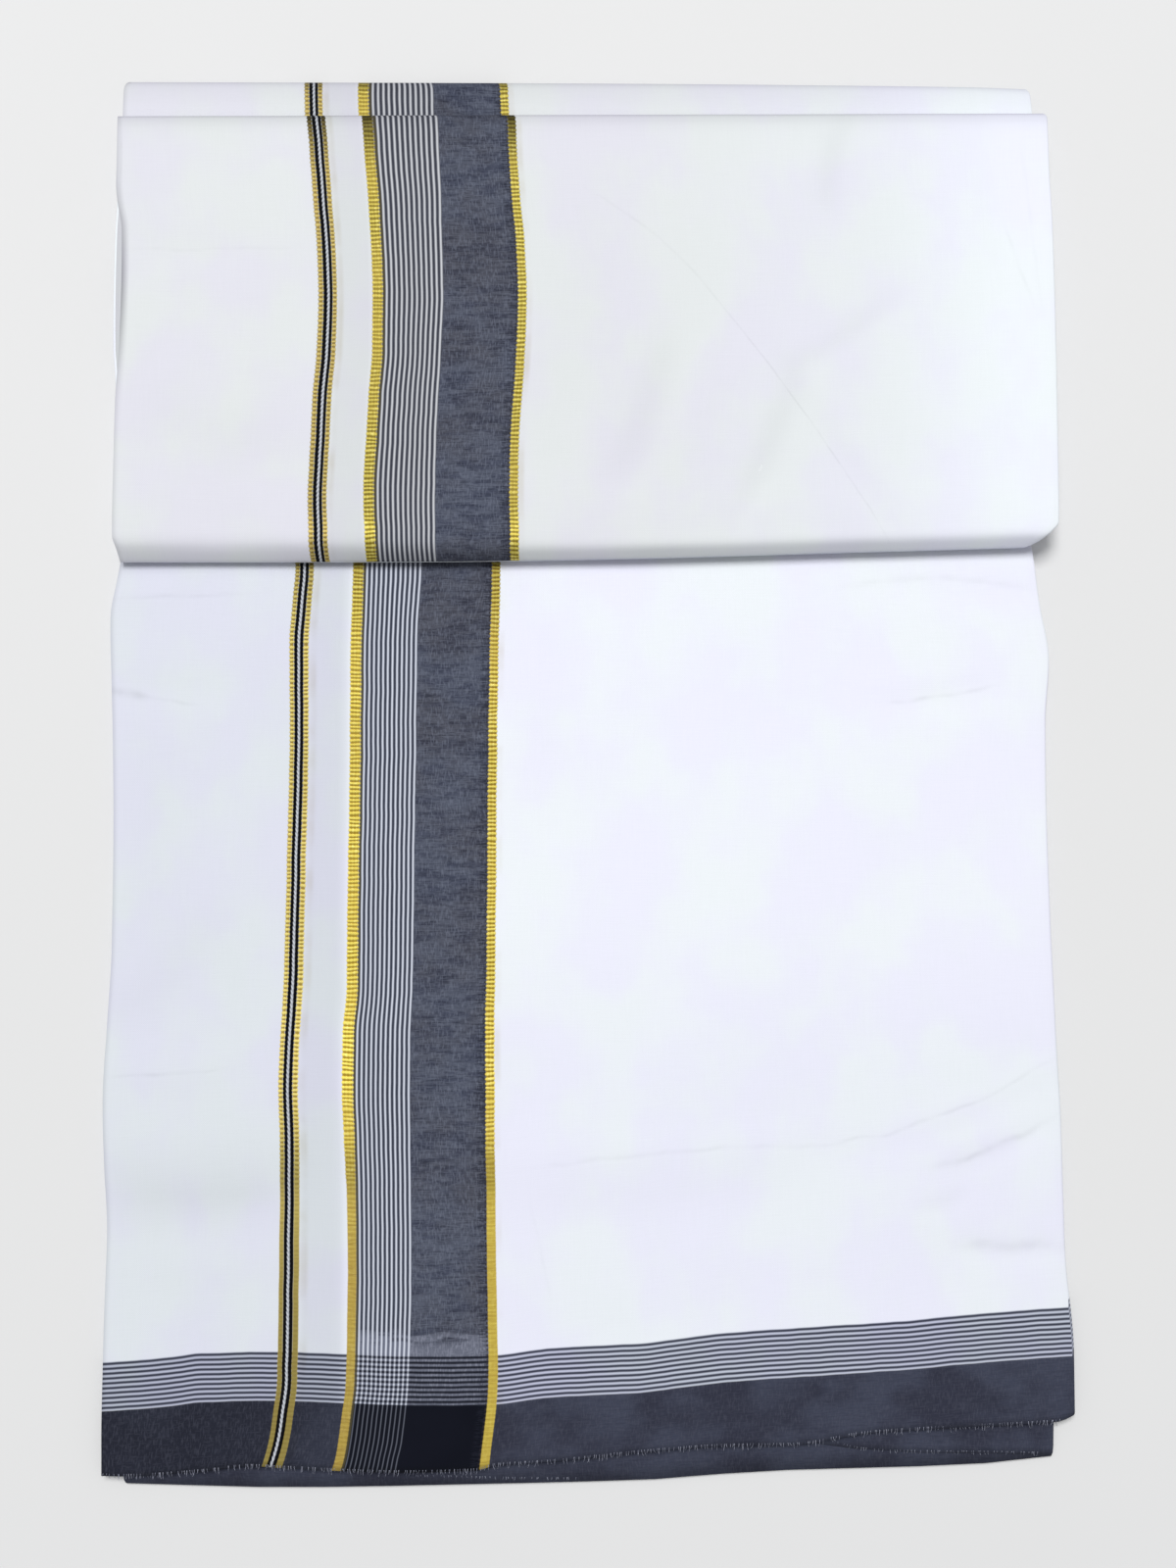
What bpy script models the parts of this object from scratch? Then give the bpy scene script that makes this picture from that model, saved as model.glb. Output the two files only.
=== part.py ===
"""A cotton dhoti, pressed and folded flat.

The dhoti is one woven length of cloth with no seams. It is folded end to end and then pleated
lengthwise to a quarter of its width, so that eight thicknesses lie on each other and its two
woven edges are both on the left. That long stack is folded three more times:

    back fold     the open ends run up underneath, and the stack turns over at the very top
    hidden fold   it comes down and turns back under the front of the bundle
    front fold    it goes up, turns over just below the back fold, and comes down as the
                  front, which ends in a soft roll where the cloth was folded end to end

Four solids hold this shape. The upper leaves are the top half of the cloth's width, folded at
the right edge. The lower leaves are the other half, folded in the same way, and they stick
out a little further at the open end. The back fold holds the hidden layers, and the front
fold lies on it.

Sizes are in millimetres. X runs across the cloth, Y runs up towards the back fold and Z runs
up from the surface that the bundle lies on. The origin is under the middle of the bundle.
"""

import math
from collections import namedtuple

import bmesh
import bpy
import numpy as np

MM = 0.001

# The cloth and its folded width.
CLOTH_WIDTH = 1272.0
HALF = CLOTH_WIDTH / 4 / 2

# Heights, from the surface up.
LEAVES = 1.65
GAP = 0.3
UPPER_LOW = LEAVES + GAP
UPPER_HIGH = UPPER_LOW + LEAVES
BACK_LOW = UPPER_HIGH + GAP
BACK_SINGLE = BACK_LOW + 2.1
BACK_HIGH = BACK_LOW + 4.7
FRONT_LOW = BACK_HIGH + GAP
FRONT_HIGH = 12.0

# Lengths along the cloth: the open end, the front, and the hidden stretch behind it.
OPEN_LENGTH = 472.0
FRONT_LENGTH = 155.0
BACK_LENGTH = 165.0

# Noses of the folds. A reach is how far along the cloth its rounding goes.
BACK_REACH = 5.0
ROLL_CLEAR = 0.4
HIDDEN_REACH = 2.6
HIDDEN_SET_BACK = 5.2

# Where the hidden layers stop, measured from the head of the stretch that covers them.
LEAVES_STOP = 6.8
PANEL_STOP = 4.0
FRONT_LAP = 3.2
STEP = 0.25
SLIT = 0.4

# Edges of the cloth. The upper thicknesses of the lower leaves are cut a little shorter.
SIDE_ROUND = 0.9
SIDE_SHARE = 0.3
GROOVE = 0.5
CUT_SHORT = 3.0
LAYER_TURNS = (45, 0, -45)
FOLD_TURNS = (60, 30, 0, -30, -60)

Section = namedtuple("Section", "along low high")
Folded = namedtuple("Folded", "along left right under_left")
Layers = namedtuple("Layers", "along left right under_left under_right")
Level = namedtuple("Level", "across y")
Crease = namedtuple("Crease", "x y length angle width height")
Slope = namedtuple("Slope", "along high")

# How far each side stands out past half the folded width, from the open end upwards. The
# leaves have one fold at the right edge, and two layers at the left one.
UPPER_EDGES = (
    Folded(along=0, left=-1.5, right=2.7, under_left=-6.0),
    Folded(along=20, left=-1.2, right=2.8, under_left=-4.0),
    Folded(along=55, left=-1.3, right=0.7, under_left=-2.2),
    Folded(along=75, left=-1.6, right=0.4, under_left=-2.3),
    Folded(along=100, left=-0.1, right=0.2, under_left=-0.9),
    Folded(along=122, left=0.8, right=-0.6, under_left=-0.2),
    Folded(along=145, left=0.0, right=-1.2, under_left=-0.8),
    Folded(along=170, left=-1.1, right=-1.9, under_left=-2.0),
    Folded(along=205, left=-0.8, right=-2.4, under_left=-1.7),
    Folded(along=240, left=0.0, right=-2.1, under_left=-0.9),
    Folded(along=263, left=1.1, right=-0.4, under_left=0.2),
    Folded(along=283, left=1.9, right=-3.2, under_left=1.1),
    Folded(along=297, left=-0.3, right=-4.7, under_left=-1.0),
    Folded(along=312, left=-2.4, right=-6.4, under_left=-3.2),
    Folded(along=336, left=-1.4, right=-3.0, under_left=-2.2),
    Folded(along=472, left=-1.0, right=-3.4, under_left=-1.8),
)
LOWER_EDGES = (
    Folded(along=0, left=-8.6, right=-4.0, under_left=-8.0),
    Folded(along=12, left=-8.4, right=-3.6, under_left=-7.7),
    Folded(along=60, left=-2.6, right=-1.4, under_left=-3.4),
    Folded(along=130, left=-0.6, right=-2.2, under_left=-1.4),
    Folded(along=200, left=-1.6, right=-3.8, under_left=-2.4),
    Folded(along=263, left=0.6, right=-2.6, under_left=-0.4),
    Folded(along=312, left=-4.2, right=-8.0, under_left=-5.0),
    Folded(along=336, left=-3.2, right=-5.0, under_left=-4.0),
    Folded(along=472, left=-2.8, right=-5.2, under_left=-3.6),
)

# The same for stacks that have two layers at both edges.
BACK_EDGES = (
    Layers(along=0, left=-3.8, right=-5.4, under_left=-3.2, under_right=-5.0),
    Layers(along=10, left=-1.3, right=-0.8, under_left=-0.6, under_right=-1.6),
    Layers(along=60, left=-0.5, right=0.2, under_left=-1.4, under_right=-0.6),
    Layers(along=110, left=0.2, right=0.2, under_left=-0.6, under_right=-0.8),
    Layers(along=150, left=1.7, right=-1.8, under_left=0.8, under_right=-2.6),
    Layers(along=162, left=1.4, right=-2.8, under_left=0.6, under_right=-3.6),
    Layers(along=165, left=-0.2, right=-3.8, under_left=-0.6, under_right=-4.4),
)
FRONT_EDGES = (
    Layers(along=0, left=-2.0, right=-9.0, under_left=-2.6, under_right=-9.6),
    Layers(along=1.6, left=-2.0, right=-5.2, under_left=-2.6, under_right=-6.0),
    Layers(along=4.5, left=-1.6, right=-1.0, under_left=-2.2, under_right=-1.8),
    Layers(along=7.5, left=-0.8, right=1.3, under_left=-1.2, under_right=0.5),
    Layers(along=20, left=-0.7, right=1.5, under_left=-1.1, under_right=0.8),
    Layers(along=53, left=-0.7, right=1.6, under_left=-0.8, under_right=0.9),
    Layers(along=75, left=-1.5, right=1.7, under_left=0.4, under_right=1.0),
    Layers(along=95, left=-1.8, right=1.6, under_left=0.7, under_right=0.9),
    Layers(along=114, left=-1.4, right=1.4, under_left=0.6, under_right=0.8),
    Layers(along=130, left=0.4, right=0.8, under_left=0.2, under_right=0.2),
    Layers(along=155, left=0.6, right=0.4, under_left=0.0, under_right=-0.2),
)

# How each end of a stretch runs across the cloth.
OPEN_CUT = (
    Level(across=-158, y=-234.2),
    Level(across=-124, y=-232.8),
    Level(across=-109, y=-231.2),
    Level(across=-60, y=-233.2),
    Level(across=-29, y=-231.0),
    Level(across=23, y=-226.4),
    Level(across=66, y=-224.4),
    Level(across=94, y=-220.6),
    Level(across=150, y=-217.4),
    Level(across=162, y=-214.6),
)
LOWER_CUT = (
    Level(across=-152, y=-237.4),
    Level(across=-97, y=-238.7),
    Level(across=-38, y=-237.8),
    Level(across=23, y=-236.2),
    Level(across=58, y=-233.6),
    Level(across=127, y=-231.4),
    Level(across=156, y=-228.6),
)
ROLL_LINE = (
    Level(across=-160, y=68.1),
    Level(across=-60, y=68.2),
    Level(across=15, y=69.2),
    Level(across=82, y=71.1),
    Level(across=151, y=73.1),
)
HIDDEN_LINE = tuple(Level(row.across, row.y + HIDDEN_SET_BACK) for row in ROLL_LINE)
FRONT_TOP = (
    Level(across=-160, y=222.9),
    Level(across=0, y=223.4),
    Level(across=160, y=223.9),
)
BACK_TOP = (
    Level(across=-160, y=238.7),
    Level(across=-19, y=238.3),
    Level(across=132, y=236.9),
    Level(across=155, y=236.1),
)

# The foot of the front fold. It droops in front of the hidden fold, close above the leaves.
# Behind that its top slopes up to full height over the hidden fold.
ROLL_NOSE = (
    Section(along=0, low=6.45, high=6.85),
    Section(along=0.1, low=6.05, high=7.2),
    Section(along=0.35, low=5.55, high=7.7),
    Section(along=0.8, low=5.1, high=8.3),
    Section(along=1.6, low=4.8, high=9.3),
    Section(along=2.4, low=4.8, high=10.15),
    Section(along=3.2, low=4.8, high=10.8),
    Section(along=4.2, low=4.8, high=11.36),
)
ROLL_SLOPE = (
    Slope(along=4.45, high=11.48),
    Slope(along=4.8, high=11.58),
    Slope(along=5.2, high=11.68),
    Slope(along=5.8, high=11.79),
    Slope(along=6.6, high=11.88),
    Slope(along=7.4, high=11.94),
    Slope(along=8.6, high=11.98),
    Slope(along=10.4, high=FRONT_HIGH),
)

# The broadest creases: middle, length, direction in degrees, width and height.
CREASES = (
    Crease(x=80, y=109, length=96, angle=-54, width=8, height=-0.4),
    Crease(x=85, y=205, length=46, angle=92, width=10, height=-0.4),
    Crease(x=58, y=101, length=46, angle=74, width=10, height=-0.4),
    Crease(x=146, y=188, length=68, angle=-76, width=8, height=0.3),
    Crease(x=-140, y=24, length=44, angle=-4, width=8, height=-0.4),
    Crease(x=121, y=22, length=48, angle=4, width=8, height=-0.4),
    Crease(x=119, y=-116, length=96, angle=20, width=9, height=-0.4),
    Crease(x=-138, y=-104, length=44, angle=3, width=8, height=0.3),
    Crease(x=-130, y=-134, length=70, angle=4, width=14, height=-0.4),
    Crease(x=-100, y=5, length=66, angle=97, width=10, height=-0.4),
)

WHITE = (0.86, 0.87, 0.9)
END_BAND = (0.05, 0.055, 0.09)


def read_table(table, column, at):
    """One column of a table at any places, on a smooth curve that never passes its rows.

    The slope at a row is the harmonic mean of the slopes beside it, or 0 where they differ
    in sign, and each stretch between two rows is a cubic.
    """
    places = np.array([row[0] for row in table], dtype=float)
    values = np.array([getattr(row, column) for row in table], dtype=float)
    steep = np.diff(values) / np.diff(places)
    before, after = steep[:-1], steep[1:]
    same = before * after > 0
    total = np.where(same, before + after, 1.0)
    slopes = np.concatenate([steep[:1], np.where(same, 2 * before * after / total, 0.0), steep[-1:]])
    index = np.clip(np.searchsorted(places, at, side="right") - 1, 0, len(places) - 2)
    span = places[index + 1] - places[index]
    part = np.clip((at - places[index]) / span, 0.0, 1.0)
    start = values[index] * (1 + 2 * part) * (1 - part) ** 2
    end = values[index + 1] * (3 - 2 * part) * part**2
    lean = span * part * (1 - part) * (slopes[index] * (1 - part) - slopes[index + 1] * part)
    return start + end + lean


def crease_height(x, y):
    """Height of all broad creases: each a soft ridge or trough that fades at both ends."""
    height = np.zeros_like(x)
    for crease in CREASES:
        angle = math.radians(crease.angle)
        along = (x - crease.x) * math.cos(angle) + (y - crease.y) * math.sin(angle)
        beside = (y - crease.y) * math.cos(angle) - (x - crease.x) * math.sin(angle)
        fade = np.exp(-((2 * along / crease.length) ** 4))
        height += crease.height * fade * np.exp(-((beside / crease.width) ** 2))
    return height


def run_along(foot, head, length, along, x):
    """Y of points at each distance along a stretch whose ends follow two tables."""
    low = read_table(foot, "y", x)
    high = read_table(head, "y", x)
    return low + (high - low) * along[:, None] / length


def side_edge(edges, depth, turns, low, high):
    """Points down one side of a stack: a round for each layer and a groove between them.

    edges holds the outermost place of each layer, from the top one down, for each section.
    """
    across = []
    heights = []
    for index, edge in enumerate(edges):
        top = high - (high - low) * index / len(edges)
        bottom = high - (high - low) * (index + 1) / len(edges)
        for turn in np.radians(turns):
            across.append(edge - depth * (1 - math.cos(turn)))
            heights.append((top + bottom) / 2 + (top - bottom) / 2 * math.sin(turn))
        if index + 1 < len(edges):
            across.append(np.minimum(edge, edges[index + 1]) - depth - GROOVE)
            heights.append(bottom)
    return np.stack(across, axis=1), np.stack(heights, axis=1)


def join_rings(rings):
    """Faces between neighbouring rings of points, all with the same number of points."""
    rows, count = rings.shape[:2]
    faces = []
    for row in range(rows - 1):
        first = row * count
        second = first + count
        for index in range(count):
            after = (index + 1) % count
            faces.append((first + index, first + after, second + after, second + index))
    return faces


def make_object(name, points, faces, colour):
    """One closed mesh from points in millimetres, with its faces turned outwards."""
    shape = bmesh.new()
    corners = [shape.verts.new(point) for point in (points * MM).tolist()]
    for face in faces:
        shape.faces.new([corners[index] for index in face])
    bmesh.ops.recalc_face_normals(shape, faces=shape.faces)
    mesh = bpy.data.meshes.new(name)
    shape.to_mesh(mesh)
    shape.free()
    mesh.shade_smooth()
    mesh.set_sharp_from_angle(angle=math.radians(40))
    material = bpy.data.materials.new(name)
    material.use_nodes = True
    surface = material.node_tree.nodes["Principled BSDF"]
    surface.inputs["Base Color"].default_value = (*colour, 1.0)
    surface.inputs["Roughness"].default_value = 0.85
    surface.inputs["Metallic"].default_value = 0.0
    mesh.materials.append(material)
    obj = bpy.data.objects.new(name, mesh)
    bpy.context.scene.collection.objects.link(obj)
    return obj


def layered_stack(name, edges, foot, head, length, sections, columns, colour, creased=False):
    """A stack of cloth: a ring of points across it at each section.

    Each ring runs over the top from left to right, down the right edge, back underneath and
    up the left edge. The left edge has two layers. The right one has two, or one round fold
    where the table of edges is of the folded kind.
    """
    along = np.array([section.along for section in sections])
    low = np.array([section.low for section in sections])
    high = np.array([section.high for section in sections])
    depth = np.minimum(SIDE_ROUND, SIDE_SHARE * (high - low))
    left = -HALF - read_table(edges, "left", along)
    right = HALF + read_table(edges, "right", along)
    under_left = -HALF - read_table(edges, "under_left", along)
    if isinstance(edges[0], Folded):
        under_right = right
        right_depth = (high - low) / 2
        right_x, right_z = side_edge((right,), right_depth, FOLD_TURNS, low, high)
    else:
        under_right = HALF + read_table(edges, "under_right", along)
        right_depth = depth
        right_x, right_z = side_edge((right, under_right), depth, LAYER_TURNS, low, high)
    left_x, left_z = side_edge((-left, -under_left), depth, LAYER_TURNS, low, high)

    share = np.linspace(0.0, 1.0, columns)
    top_x = (left + depth)[:, None] + (right - right_depth - left - depth)[:, None] * share
    low_span = under_right - right_depth - under_left - depth
    low_x = (under_left + depth)[:, None] + low_span[:, None] * share
    ring_x = np.concatenate([top_x, right_x, low_x[:, ::-1], -left_x[:, ::-1]], axis=1)
    ring_y = run_along(foot, head, length, along, ring_x)
    flat = np.ones((1, columns))
    ring_z = np.concatenate([high[:, None] * flat, right_z, low[:, None] * flat, left_z[:, ::-1]], axis=1)
    if creased:
        ring_z[:, :columns] += crease_height(ring_x, ring_y)[:, :columns]
    rings = np.stack([ring_x, ring_y, ring_z], axis=2)

    faces = join_rings(rings)
    count = rings.shape[1]
    side = right_x.shape[1]
    under = 2 * columns + side - 1
    for first in (0, (len(along) - 1) * count):
        for index in range(columns - 1):
            above = first + index
            below = first + under - index
            faces.append((above, above + 1, below - 1, below))
        faces.append([first + index for index in range(columns - 1, columns + side + 1)])
        faces.append([first + index for index in range(under, count)] + [first])
    return make_object(name, rings.reshape(-1, 3), faces, colour)


def make_upper_leaves():
    """The top half of the cloth's width: four thicknesses, folded at the right edge."""
    reach = OPEN_LENGTH - LEAVES_STOP
    along = [0, 4, 10] + np.linspace(20, 318, 22).tolist() + [370, 420, reach]
    sections = [Section(place, UPPER_LOW, UPPER_HIGH) for place in along]
    return layered_stack(
        "upper_leaves", UPPER_EDGES, OPEN_CUT, BACK_TOP, OPEN_LENGTH, sections, 24, WHITE,
        creased=True,
    )


def make_lower_leaves():
    """The other half, which lies on the surface. Its upper thicknesses are cut shorter."""
    near = [0, 1.2, CUT_SHORT - STEP]
    far = [CUT_SHORT, 6, 12, 24, 40, 60, 95, 130, 165, 200, 240, 263, 285, 300, 312, 324, 336, 400]
    sections = [Section(place, 0.0, LEAVES / 2) for place in near]
    sections += [Section(place, 0.0, LEAVES) for place in far + [OPEN_LENGTH - LEAVES_STOP]]
    return layered_stack(
        "lower_leaves", LOWER_EDGES, LOWER_CUT, BACK_TOP, OPEN_LENGTH, sections, 13, END_BAND
    )


def make_back_fold():
    """The stretch behind. Its rounded head shows past the front fold.

    Under the front fold it is two panels high, with a rounded hidden foot. Past the front
    fold it is one panel high, and its head wraps round the leaves' ends to the surface.
    """
    sections = []
    middle = (BACK_LOW + BACK_HIGH) / 2
    half = (BACK_HIGH - BACK_LOW) / 2
    for turn in np.radians((4, 30, 60, 90)):
        rise = half * math.sin(turn)
        sections.append(Section(HIDDEN_REACH * (1 - math.cos(turn)), middle - rise, middle + rise))
    panel_end = BACK_LENGTH - (BACK_TOP[0].y - FRONT_TOP[0].y) - PANEL_STOP
    for along in np.linspace(8, panel_end, 10):
        sections.append(Section(along, BACK_LOW, BACK_HIGH))
    wrap = BACK_LENGTH - LEAVES_STOP + SLIT
    for along in (panel_end + STEP, (panel_end + wrap) / 2, wrap):
        sections.append(Section(along, BACK_LOW, BACK_SINGLE))
    middle = BACK_SINGLE / 2
    sections.append(Section(wrap + STEP, 0.0, BACK_SINGLE))
    for turn in np.radians((90, 72, 54, 38, 24, 12, 4)):
        rise = middle * math.sin(turn)
        sections.append(Section(BACK_LENGTH - BACK_REACH * (1 - math.cos(turn)), middle - rise, middle + rise))
    return layered_stack(
        "back_fold", BACK_EDGES, HIDDEN_LINE, BACK_TOP, BACK_LENGTH, sections, 15, WHITE
    )


def make_front_fold():
    """The front of the bundle: a soft drooping roll at its foot and a nose at its head.

    Past the drooping part, the underside keeps clear of the hidden fold's nose. The head laps
    down over the end of the hidden panel.
    """
    sections = list(ROLL_NOSE)
    middle = (BACK_LOW + BACK_HIGH) / 2
    half = (BACK_HIGH - BACK_LOW) / 2
    for slope in ROLL_SLOPE:
        inward = min(max((slope.along + ROLL_CLEAR - HIDDEN_SET_BACK) / HIDDEN_REACH, 0.0), 1.0)
        clear = middle + half * math.sqrt(1 - (1 - inward) ** 2) + GAP
        sections.append(Section(slope.along, clear, slope.high))
    lap = FRONT_LENGTH - FRONT_LAP
    for along in np.linspace(ROLL_SLOPE[-1].along + 6, lap - 5, 14).tolist() + [lap]:
        sections.append(Section(along, FRONT_LOW, FRONT_HIGH))
    lap_low = BACK_SINGLE + GAP
    middle = (lap_low + FRONT_HIGH) / 2
    half = (FRONT_HIGH - lap_low) / 2
    sections.append(Section(lap + STEP, lap_low, FRONT_HIGH))
    for turn in np.radians((70, 50, 33, 18, 5)):
        along = FRONT_LENGTH - (FRONT_LAP - 2 * STEP) * (1 - math.cos(turn))
        sections.append(Section(along, middle - half * math.sin(turn), middle + half * math.sin(turn)))
    return layered_stack(
        "front_fold", FRONT_EDGES, ROLL_LINE, FRONT_TOP, FRONT_LENGTH, sections, 25, WHITE,
        creased=True,
    )


def clear_scene():
    """Remove whatever the file opened with."""
    for obj in list(bpy.context.scene.objects):
        bpy.data.objects.remove(obj, do_unlink=True)


clear_scene()
make_upper_leaves()
make_lower_leaves()
make_back_fold()
make_front_fold()
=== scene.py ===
"""The folded cotton dhoti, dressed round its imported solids.

The cloth is two plies, one for each half of its length. Both are pleated across into four
quarters, so that the stack has eight thicknesses, and the stack is then folded along its
length. A point of the cloth has a place across it, a place along it and a share of the
stack's thickness, from 0 on the face that lies down at the open end to 1 on the face that
looks up there.

Sizes in this file are in millimetres unless a name says otherwise. Meshes are in metres.
"""

import math
from collections import namedtuple

import bpy
import numpy as np
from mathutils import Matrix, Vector


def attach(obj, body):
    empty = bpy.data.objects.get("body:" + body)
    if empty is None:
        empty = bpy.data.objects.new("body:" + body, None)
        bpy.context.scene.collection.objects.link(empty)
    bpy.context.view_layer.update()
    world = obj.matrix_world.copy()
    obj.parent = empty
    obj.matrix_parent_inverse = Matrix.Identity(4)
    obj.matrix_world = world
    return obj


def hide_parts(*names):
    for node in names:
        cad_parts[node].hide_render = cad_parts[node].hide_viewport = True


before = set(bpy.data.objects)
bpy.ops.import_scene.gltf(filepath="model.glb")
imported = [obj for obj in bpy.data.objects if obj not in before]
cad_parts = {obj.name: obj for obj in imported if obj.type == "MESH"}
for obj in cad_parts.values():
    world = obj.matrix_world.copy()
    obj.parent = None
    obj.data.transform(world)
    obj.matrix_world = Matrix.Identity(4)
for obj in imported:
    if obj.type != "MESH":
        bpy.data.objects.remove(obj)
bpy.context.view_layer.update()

MM = 0.001

# The cloth, its folded width and its thickness.
CLOTH_WIDTH = 1272.0
QUARTER = CLOTH_WIDTH / 4
HALF = QUARTER / 2
THICK = 0.24
INSET = THICK / 2

# Heights of each stretch of the stack above the surface.
LEAVES_HIGH = 3.6
BACK_LOW, BACK_HIGH = 3.9, 6.0
MIDDLE_LOW, MIDDLE_HIGH = 6.3, 8.6
FRONT_LOW, FRONT_HIGH = 8.9, 12.0
FRONT_DEEP = FRONT_HIGH - FRONT_LOW - THICK

# How far each fold's rounding goes along the cloth, and how far the hidden one is set back.
BACK_REACH = 5.0
HIDDEN_REACH = 2.6
FRONT_REACH = 3.0
HIDDEN_SET_BACK = 5.2

# The drooping roll at the foot of the front: where it begins, its slope at the tip, its tucked
# end, how far above its lowest line its inner layers turn back, how far those turns bulge, and
# over what width its corners draw in.
ROLL_REACH = 10.4
ROLL_SLOPE = 1.3
ROLL_TUCK = 3.6
ROLL_INNER_END = 0.6
ROLL_TURN_BULGE = 0.3
ROLL_CORNER = 24.0

# Its rows down the slope, round the tip and along the tuck, and the fine steps by which the
# end of each inner layer and the slope of the surface are found.
ROLL_ROWS, TIP_ROWS, TUCK_ROWS = 24, 10, 5
PROBE_ROWS, PROBE_STEP = 200, 0.05

# Lengths along the cloth, of the leaves, of both plies of the folded half, and of the back and
# front panels. The strip behind the front starts at its own place.
OPEN_LENGTH = 472.0
BACK_LENGTH = 165.0
FRONT_LENGTH = 155.0
STRIP_START = 70.0

# The middle of the open end's cut, and where the place along the weave stops following the
# band's line.
CUT_MIDDLE = -229.8
BANDED_END, BANDED_FADE = -150.0, 90.0

# Where the leaves' creases end under the roll, and over what length.
CREASED_END, CREASED_FADE = 52.0, 26.0

# The broad creases bend aside by this share of their width.
CREASE_BEND = 0.35

CLOTH_MAP = "cloth"
PAINTED_SHADE_ATTRIBUTE = "painted_shade"

# How much painted shade lies on a fold's crest, and how far in from it, at the back and on
# the front.
BACK_CREST_PAINTED_SHADE = 0.46
FRONT_CREST_PAINTED_SHADE = 0.66
BACK_CREST_REACH = 2.8
FRONT_CREST_REACH = 1.8

# How dark the painted shadow is on the leaves beside the roll's foot, and how far out it reaches.
ROLL_PAINTED_SHADOW = 0.17
ROLL_SHADOW_REACH = 2.4

# Where the front's two woven edges part and a painted shadow greys them, and over what length.
PARTED_SHADOW_PLACE = 164.0
PARTED_SHADOW_REACH = 27.0

# Where the border's named threads lie from the woven edge, and the end band's from the cut.
NARROW_STRIPE = 62.7
GOLD_ONE = 82.5
FINE_END = 102.8
GOLD_TWO = 128.9
NAMED_THREADS = (0.0, NARROW_STRIPE, GOLD_ONE, FINE_END, GOLD_TWO, QUARTER)
BAND_TOP = 21.4
WEFT_LINES_TOP = 37.1
PALE_TOP = 44.4

# The fine lines beside the gold and the band: the first one's place, pitch, the last's number.
FINE_RUN = (GOLD_ONE + 2.82, 1.54, 11.0)
WEFT_RUN = (BAND_TOP + 1.0, 1.57, 9.0)

# Pitches of the yarn, of the gold's ribs and strands, and of the twisted thread.
WARP_PITCH, WEFT_PITCH = 0.62, 0.58
RIB_PITCH, STRAND_PITCH = 1.45, 1.15
TWIST_PITCH = 1.5

# How strong and how deep the weave's bump is, and how far the sharp creases waver.
WEAVE_BUMP, WEAVE_DEPTH = 0.35, 0.1
PRESS_WAVER = 2.4

# The cut threads: the share of them that is left, how far inside the cut they start, their
# least length, the spread of their lean, how far they sink, and their radius at the root.
THREADS_KEPT = 0.86
THREAD_ROOT = 0.8
THREAD_LEAST = 0.5
THREAD_LEAN = 0.34
THREAD_SINK = 0.10
THREAD_RADIUS = 0.11

Row = namedtuple("Row", "at value")
Edges = namedtuple("Edges", "along left right under_left under_right")
Warp = namedtuple("Warp", "y narrow gold_one fine_end gold_two")
Crease = namedtuple("Crease", "x y length angle width height shade", defaults=(0.0,))
Press = namedtuple("Press", "x y length angle width bend height shade")
Ripple = namedtuple("Ripple", "size across along start")


def table(kind, *rows):
    """Rows of one kind."""
    return tuple(kind(*row) for row in rows)


def moved(line, rise):
    """A line across the cloth, moved along it."""
    return tuple(Row(row.at, row.value + rise) for row in line)


def edge_table(*rows):
    """Side edges. The under sides that a row leaves out are as its upper ones."""
    return tuple(Edges(*row, *row[len(row) - 2:3]) for row in rows)


# How far the sides stand out past half the folded width, from the open end upwards. The upper
# leaves are the top half of the cloth's width, and the lower leaves the rest.
UPPER_EDGES = edge_table(
    (0, -1.5, 2.7, -8.3), (20, -1.2, 2.8, -4.2), (55, -1.3, 0.7, -2.2), (75, -1.6, 0.4, -2.3),
    (100, -0.1, 0.2, -0.9), (122, 0.8, -0.6, -0.2), (145, 0.0, -1.2, -0.8),
    (170, -1.1, -1.9, -2.0), (205, -0.8, -2.4, -1.7), (240, 0.0, -2.1, -0.9),
    (263, 1.1, -0.4, 0.2), (283, 1.9, -3.2, 1.1), (297, -0.3, -4.7, -1.0),
    (312, -2.4, -6.4, -3.2), (336, -1.4, -3.0, -2.2), (472, -1.0, -3.4, -1.8),
)
LOWER_EDGES = edge_table(
    (0, -8.6, -4.0), (12, -8.0, -3.6), (60, -3.4, -1.4), (130, -1.4, -2.2), (200, -2.4, -3.8),
    (263, -0.4, -2.6), (312, -5.0, -8.0), (336, -4.0, -5.0), (472, -3.6, -5.2),
)
BACK_EDGES = edge_table(
    (0, -3.8, -5.4, -3.2, -5.0), (10, -1.3, -0.8, -0.6, -1.6), (60, -0.5, 0.2, -1.4, -0.6),
    (110, 0.2, 0.2, -0.6, -0.8), (150, 1.7, -1.8, 0.8, -2.6), (162, 1.4, -2.8, 0.6, -3.6),
    (165, -0.2, -3.8, -0.6, -4.4),
)
FRONT_EDGES = edge_table(
    (0, -2.0, -9.0, -2.6, -9.6), (1.6, -2.0, -5.2, -2.6, -6.0), (3, -1.9, -2.8, -2.5, -3.4),
    (4.5, -1.6, -1.0, -2.2, -1.8), (7.5, -0.8, 1.3, -1.2, 0.5), (20, -0.7, 1.5, -1.1, 0.8),
    (53, -0.7, 1.6, -0.8, 0.9), (63, -1.1, 1.7, -0.2, 1.0), (75, -1.7, 1.7, 0.7, 1.0),
    (95, -2.0, 1.6, 0.9, 0.9), (114, -1.7, 1.4, 0.7, 0.8), (124, 0.0, 1.1, 0.2, 0.4),
    (130, 0.6, 0.8, 0.1, 0.2), (155, 0.6, 0.4, 0.0, -0.2),
)

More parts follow.
